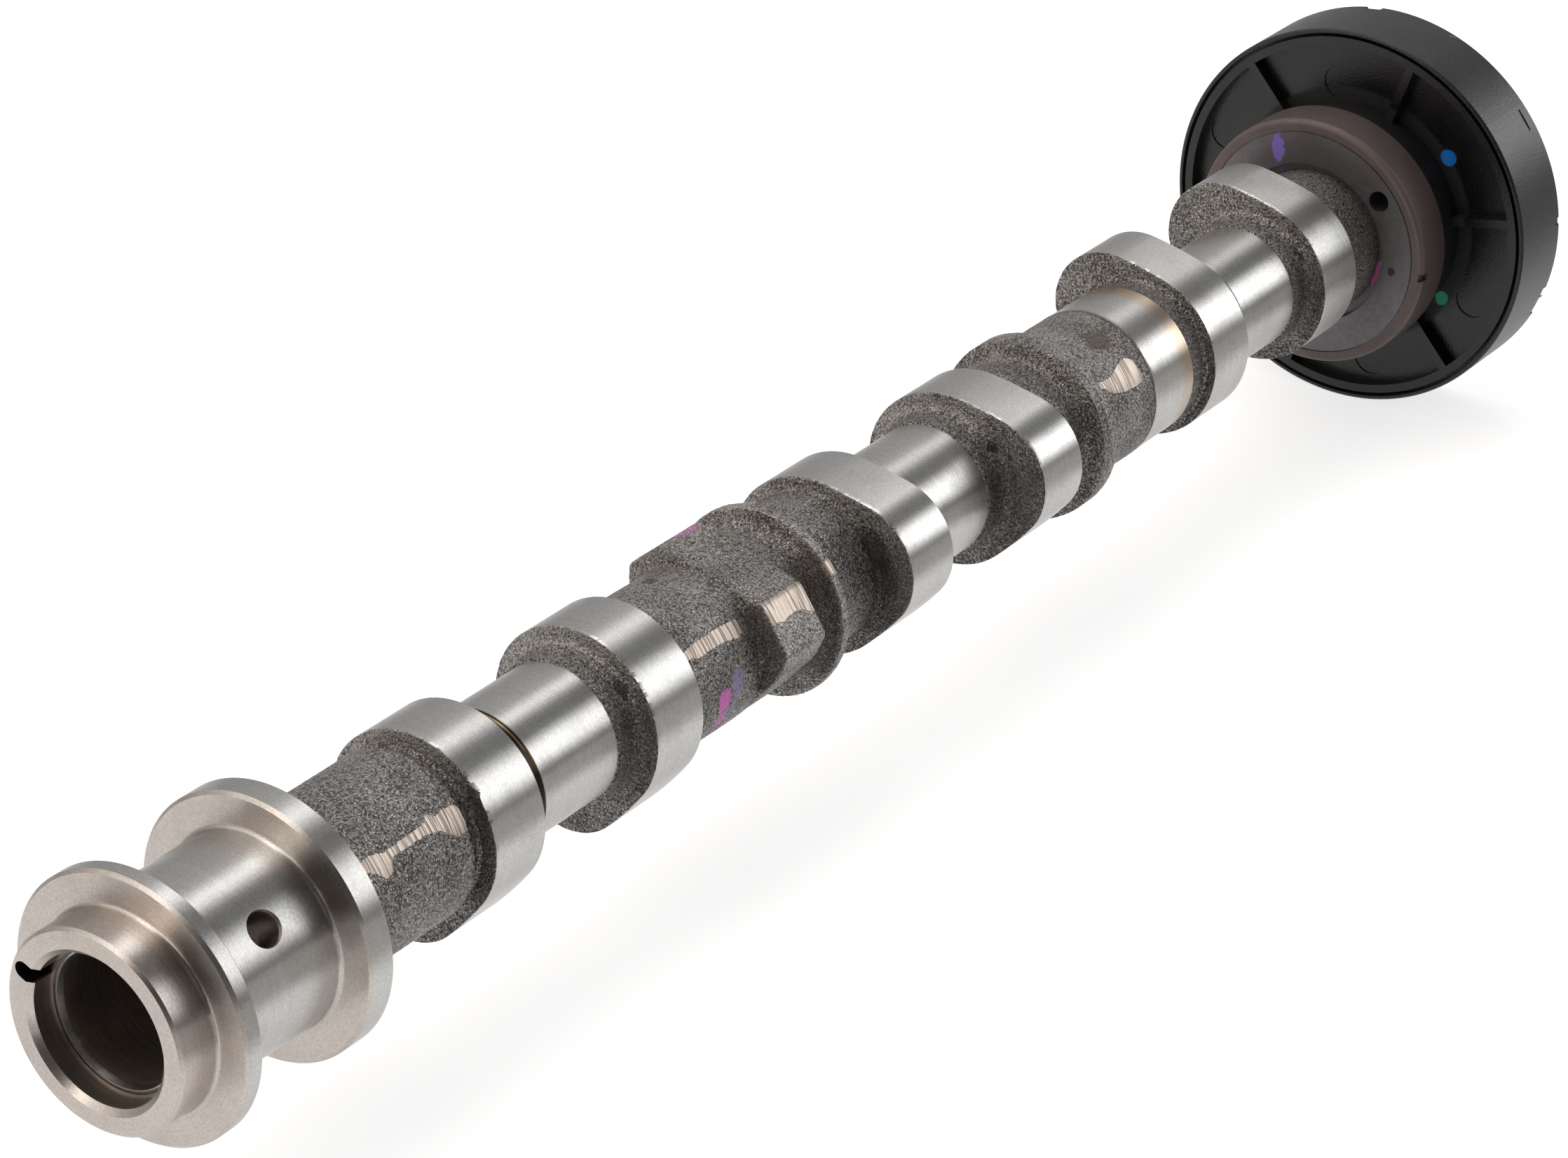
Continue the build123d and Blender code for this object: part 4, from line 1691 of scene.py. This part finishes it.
# near-black colour of dark spots, most of them painted shade on the lobes' front faces
DARK_SPOT_AND_SHADE: Colour = (0.016, 0.010, 0.008, 1.0)
OIL: Colour = (0.075, 0.050, 0.028, 1.0)
PLUM: Colour = (0.030, 0.010, 0.030, 1.0)
BLUE: Colour = (0.008, 0.17, 0.60, 1.0)
GREEN: Colour = (0.07, 0.62, 0.42, 1.0)
GREY: Colour = (0.16, 0.16, 0.16, 1.0)
CAST_DABS = (
    Dab(133.2, 13.7, 49.5, 1.7, 2.0, 3.0, MAGENTA, 0.0, 0.95, 1.1),
    Dab(133.3, 13.7, 65.5, 1.4, 1.5, 3.0, MAGENTA, 0.0, 0.75, 1.8),
    Dab(136.6, 13.7, 39.0, 1.5, 1.7, 3.0, VIOLET, -30.0, 0.7, 1.6),
    Dab(136.2, 13.7, 47.5, 0.8, 1.6, 3.0, VIOLET, -30.0, 0.5, 1.8),
    Dab(135.9, 13.7, 59.5, 0.8, 1.8, 3.0, VIOLET, 0.0, 0.5, 1.8),
    Dab(150.5, 17.3, -72.0, 3.6, 1.6, 1.6, MAGENTA, 0.0, 0.3),
    Dab(136.0, 13.7, -63.0, 1.3, 1.4, 2.0, DARK_SPOT_AND_SHADE, 0.0, 0.7),
    Dab(257.8, 14.4, -24.1, 3.2, 2.8, 2.0, OIL, 0.0, 0.7),
    # painted shade: dark spots on the lobes' front faces next to the journals and necks
    Dab(217.7, 12.9, -0.8, 1.2, 1.3, 1.1, DARK_SPOT_AND_SHADE, 0.0, 0.9, 0.5),
    Dab(111.7, 12.6, -0.4, 1.6, 2.2, 1.2, DARK_SPOT_AND_SHADE, 0.0, 0.8),
    Dab(323.7, 12.4, 5.2, 1.4, 2.4, 1.1, DARK_SPOT_AND_SHADE, 0.0, 0.8),
    Dab(176.9, 14.6, 14.0, 1.6, 4.2, 2.4, DARK_SPOT_AND_SHADE, 0.0, 0.75),
    Dab(176.9, 15.0, 34.0, 1.6, 3.6, 2.6, DARK_SPOT_AND_SHADE, 0.0, 0.6),
    Dab(70.6, 15.1, 9.0, 1.0, 3.4, 1.2, DARK_SPOT_AND_SHADE, 0.0, 0.7),
)
HUB_DABS = (
    Dab(347.6, 19.4, -71.5, 3.0, 1.75, 3.3, PURPLE, 0.0, 0.95, 0.6, -20.0),
    Dab(347.6, 15.5, -78.0, 3.0, 0.9, 0.4, PURPLE, 0.0, 0.6, 0.8, 60.0),
    Dab(346.0, 18.3, 47.3, 4.0, 0.8, 0.8, PLUM),
    Dab(347.4, 14.6, 57.0, 1.6, 2.8, 0.55, MAGENTA, 0.0, 0.75, 0.5),
)
CARRIER_DABS = (
    Dab(363.9, 25.5, 2.6, 3.0, 1.75, 1.75, BLUE, fray=0.3),
    Dab(363.9, 24.2, 74.5, 3.0, 1.5, 1.3, GREEN, fray=0.8),
)
RING_DABS = (
    Dab(375.6, 38.1, -28.2, 0.9, 0.22, 1.0, GREY, 50.0, 0.7, 0.5),
    Dab(376.8, 38.1, -25.4, 0.8, 0.20, 1.0, GREY, 50.0, 0.7, 0.5),
)


# wheel and studio


@dataclass
class Wheel:
    """The signal wheel's three CAD pieces, whose own shape is right and which only get their finishes."""

    nodes: dict[str, bpy.types.Object]

    def build(self, looks: dict[str, bpy.types.Material]) -> None:
        """Puts each finish on its node.

        Args:
            looks: a material for each node's name.
        """
        for name, look in looks.items():
            mesh = self.nodes[name].data
            mesh.materials.clear()
            mesh.materials.append(look)


@dataclass
class Studio:
    """Camera, floor and light. The light is a soft sky of bands that run parallel to the shaft."""

    focal_pixels: float = 6793.8
    width_pixels: float = 2237.0
    sensor: float = 36.0
    nose_in_view: tuple[float, float, float] = (-96.609, 63.697, 666.371)
    shaft_in_view: tuple[float, float, float] = (0.57178582, -0.37212887, 0.73115052)
    floor_height: float = -38.1
    floor_reach: float = 3.0
    floor_colour: Colour = (0.54, 0.54, 0.54, 1.0)
    floor_lift: float = 0.74
    warmth: Colour = (1.0, 0.93, 0.87, 1.0)
    toward_wheel: tuple[tuple[float, float], ...] = (
        (-180.0, 0.42), (-6.0, 0.5), (6.0, 0.40), (18.0, 0.41), (30.0, 0.46), (42.0, 0.48), (56.0, 0.50),
        (66.0, 0.37), (73.0, 0.44), (79.0, 0.62), (86.0, 0.55), (93.0, 0.42), (100.0, 0.33), (110.0, 0.31),
        (120.0, 0.50), (129.0, 1.70), (137.0, 3.0), (148.0, 3.9), (160.0, 3.5), (168.0, 2.1), (176.0, 0.60),
        (180.0, 0.40),
    )
    toward_side: tuple[tuple[float, float], ...] = (
        (-180.0, 0.35), (-6.0, 0.5), (6.0, 0.40), (18.0, 0.41), (30.0, 0.46), (42.0, 0.48), (56.0, 0.55),
        (66.0, 0.60), (73.0, 1.35), (79.0, 2.55), (86.0, 2.5), (94.0, 1.2), (101.0, 0.34), (110.0, 0.24),
        (120.0, 0.20), (129.0, 0.22), (137.0, 0.38), (148.0, 0.49), (160.0, 0.44), (168.0, 0.26), (176.0, 0.20),
        (180.0, 0.20),
    )
    toward_nose: tuple[tuple[float, float], ...] = (
        (-180.0, 0.06), (-115.0, 0.08), (-75.0, 0.30), (-6.0, 0.40), (8.0, 0.60), (26.0, 0.80), (40.0, 1.30),
        (56.0, 1.35), (64.0, 1.7), (72.0, 2.3), (84.0, 2.2), (91.0, 1.0), (98.0, 0.30), (106.0, 0.10), (132.0, 0.06),
        (180.0, 0.06),
    )

    def camera(self) -> None:
        """Sets the camera where the photograph was taken from.

        The shaft's direction as the camera saw it is +X, and +Z is the picture's up direction with its
        part along the shaft taken away, so the camera has no roll.
        """
        along = np.array(self.shaft_in_view)
        along = along / np.linalg.norm(along)
        tilt = math.atan2(-along[1], along[2])
        up = np.array((0.0, -math.cos(tilt), -math.sin(tilt)))
        side = np.cross(up, along)
        axes = np.stack((along, side, up))
        nose = np.array(self.nose_in_view)
        spot = np.array((-DATUM, 0.0, 0.0)) - axes @ nose
        turn = Matrix((axes[:, 0], -axes[:, 1], -axes[:, 2])).transposed()
        data = bpy.data.cameras.new("view")
        data.sensor_width = self.sensor
        data.lens = self.sensor * self.focal_pixels / self.width_pixels
        data.clip_start = 0.01
        data.clip_end = 100.0
        made = bpy.data.objects.new("view", data)
        made.matrix_world = Matrix.Translation(Vector(spot * MM)) @ turn.to_4x4()
        bpy.context.scene.collection.objects.link(made)
        bpy.context.scene.camera = made

    def floor(self) -> None:
        """Lays a plain pale floor that is white to the camera and keeps a soft shadow.

        Mirror rays see a band of it in front of the shaft that glows as a painted pool of light, which fades behind.
        """
        reach = self.floor_reach
        z = self.floor_height * MM
        corners = [(reach * x, reach * y, z) for x, y in ((-1, -1), (1, -1), (1, 1), (-1, 1))]
        mesh = bpy.data.meshes.new("floor")
        mesh.from_pydata(corners, [], [(0, 1, 2, 3)])
        made = bpy.data.objects.new("floor", mesh)
        bpy.context.scene.collection.objects.link(made)
        look, g = new_look("pale_floor")
        diffuse = g.node("ShaderNodeBsdfDiffuse")
        g.put(self.floor_colour, diffuse.inputs["Color"])
        _, y, _ = g.split(g.where())
        # painted light: a glowing pool on the floor that only mirror rays see
        pool = g.sum("MULTIPLY", g.ramp(y, -0.10, -0.055, 0.05, 0.64), g.ramp(y, 0.08, 0.24, 1.0, 0.2))
        path = g.node("ShaderNodeLightPath")
        lift = g.sum("MULTIPLY", path.outputs["Is Glossy Ray"], pool)
        lift = g.sum("MULTIPLY_ADD", path.outputs["Is Camera Ray"], self.floor_lift, lift)
        lift = g.sum("MULTIPLY_ADD", path.outputs["Is Transmission Ray"], 0.5, lift)
        glow = g.node("ShaderNodeEmission")
        g.put(lift, glow.inputs["Strength"])
        both = g.node("ShaderNodeAddShader")
        g.put(diffuse.outputs[0], both.inputs[0])
        g.put(glow.outputs[0], both.inputs[1])
        g.output(both)
        mesh.materials.append(look)

    def light(self) -> None:
        """Lights the scene with long softboxes: a sky whose level depends on the angle round the shaft.

        Three tables give the level, for directions toward the wheel, to the side and toward the nose, and
        the direction's part along the shaft blends them. The camera sees plain white beyond the floor.
        """
        world = bpy.data.worlds.new("studio")
        bpy.context.scene.world = world
        world.use_nodes = True
        g = Graph(world.node_tree)
        x, y, z = g.split(g.node("ShaderNodeTexCoord").outputs["Generated"])
        angle = g.sum("ARCTAN2", z, y)
        share = g.sum("MULTIPLY_ADD", angle, 1.0 / (2 * math.pi), 0.5)
        top = max(level for _, level in self.toward_wheel + self.toward_side + self.toward_nose)
        tables = (self.toward_wheel, self.toward_side, self.toward_nose)
        wheelward, sideward, noseward = (self.table(g, share, table, top) for table in tables)
        warm = g.node("ShaderNodeMix", data_type="RGBA", blend_type="MULTIPLY")
        g.put(1.0, warm.inputs[0])
        g.put(noseward, warm.inputs[6])
        g.put(self.warmth, warm.inputs[7])
        onward = g.mix(g.ramp(x, 0.45, 0.85), sideward, wheelward)
        level = g.mix(g.ramp(x, -0.25, 0.25), warm.outputs[2], onward)
        sky = g.node("ShaderNodeBackground")
        g.put(level, sky.inputs["Color"])
        g.put(top, sky.inputs["Strength"])
        white = g.node("ShaderNodeBackground")
        g.put((1.0, 1.0, 1.0, 1.0), white.inputs["Color"])
        pick = g.node("ShaderNodeMixShader")
        g.put(g.node("ShaderNodeLightPath").outputs["Is Camera Ray"], pick.inputs[0])
        g.put(sky.outputs[0], pick.inputs[1])
        g.put(white.outputs[0], pick.inputs[2])
        g.output(pick, "ShaderNodeOutputWorld")

    @staticmethod
    def table(g: Graph, share: object, bands: Sequence[tuple[float, float]], top: float) -> bpy.types.NodeSocket:
        """Colour ramp that holds a table of angle and level.

        Args:
            g: the world's graph.
            share: the angle as a share of a turn.
            bands: angles in degrees with their levels, in order.
            top: the level that white stands for.

        Returns:
            The ramp's colour.
        """
        ramp = g.node("ShaderNodeValToRGB")
        stops = ramp.color_ramp.elements
        for number, (turn, level) in enumerate(bands):
            at = min(max((turn + 180.0) / 360.0, 0.0), 1.0)
            stop = stops[0] if number == 0 else stops[-1] if number == len(bands) - 1 else stops.new(at)
            stop.position = at
            value = level / top
            stop.color = (value, value, value, 1.0)
        g.put(share, ramp.inputs[0])
        return ramp.outputs[0]

    def build(self) -> None:
        """Makes the camera, the floor and the light."""
        self.camera()
        self.floor()
        self.light()
        bpy.context.scene.view_settings.view_transform = "Standard"


def main() -> None:
    """Builds the pieces in order and reports each."""
    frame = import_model()
    Studio().build()
    cast = CastSkin(dabs=CAST_DABS).build()
    ground = GroundSteel().build()
    bored = Bored().build()
    finishes = [ground, cast, bored]
    pairs = [
        LobePair(70.9, 144.3, 101, "first_lobe_pair", groove=True, nick=0.6),
        LobePair(176.9, 24.3, 102, "second_lobe_pair"),
        LobePair(282.9, -95.7, 103, "third_lobe_pair"),
    ]
    parts = [Nose(), FrontNeck(), pairs[0], BlockNeck(), pairs[1], DiscNeck(), pairs[2], Collar()]
    for part in parts:
        made = part.build(finishes)
        log.info("%s: %d faces", made.name, len(made.data.polygons))
    looks = {
        "wheel_hub": TurnedInsert(dabs=HUB_DABS).build(),
        "wheel_carrier": Moulding("black_moulding", (0.0046, 0.0046, 0.005, 1.0), 0.27, dabs=CARRIER_DABS).build(),
        "magnet_ring": Moulding("ring_moulding", (0.019, 0.019, 0.021, 1.0), 0.33, 0.42, dabs=RING_DABS).build(),
    }
    Wheel(frame["nodes"]).build(looks)
    log.info("wheel: %s", ", ".join(looks))


if __name__ == "__main__":
    logging.basicConfig(level=logging.INFO, format="%(name)s: %(message)s")
    main()
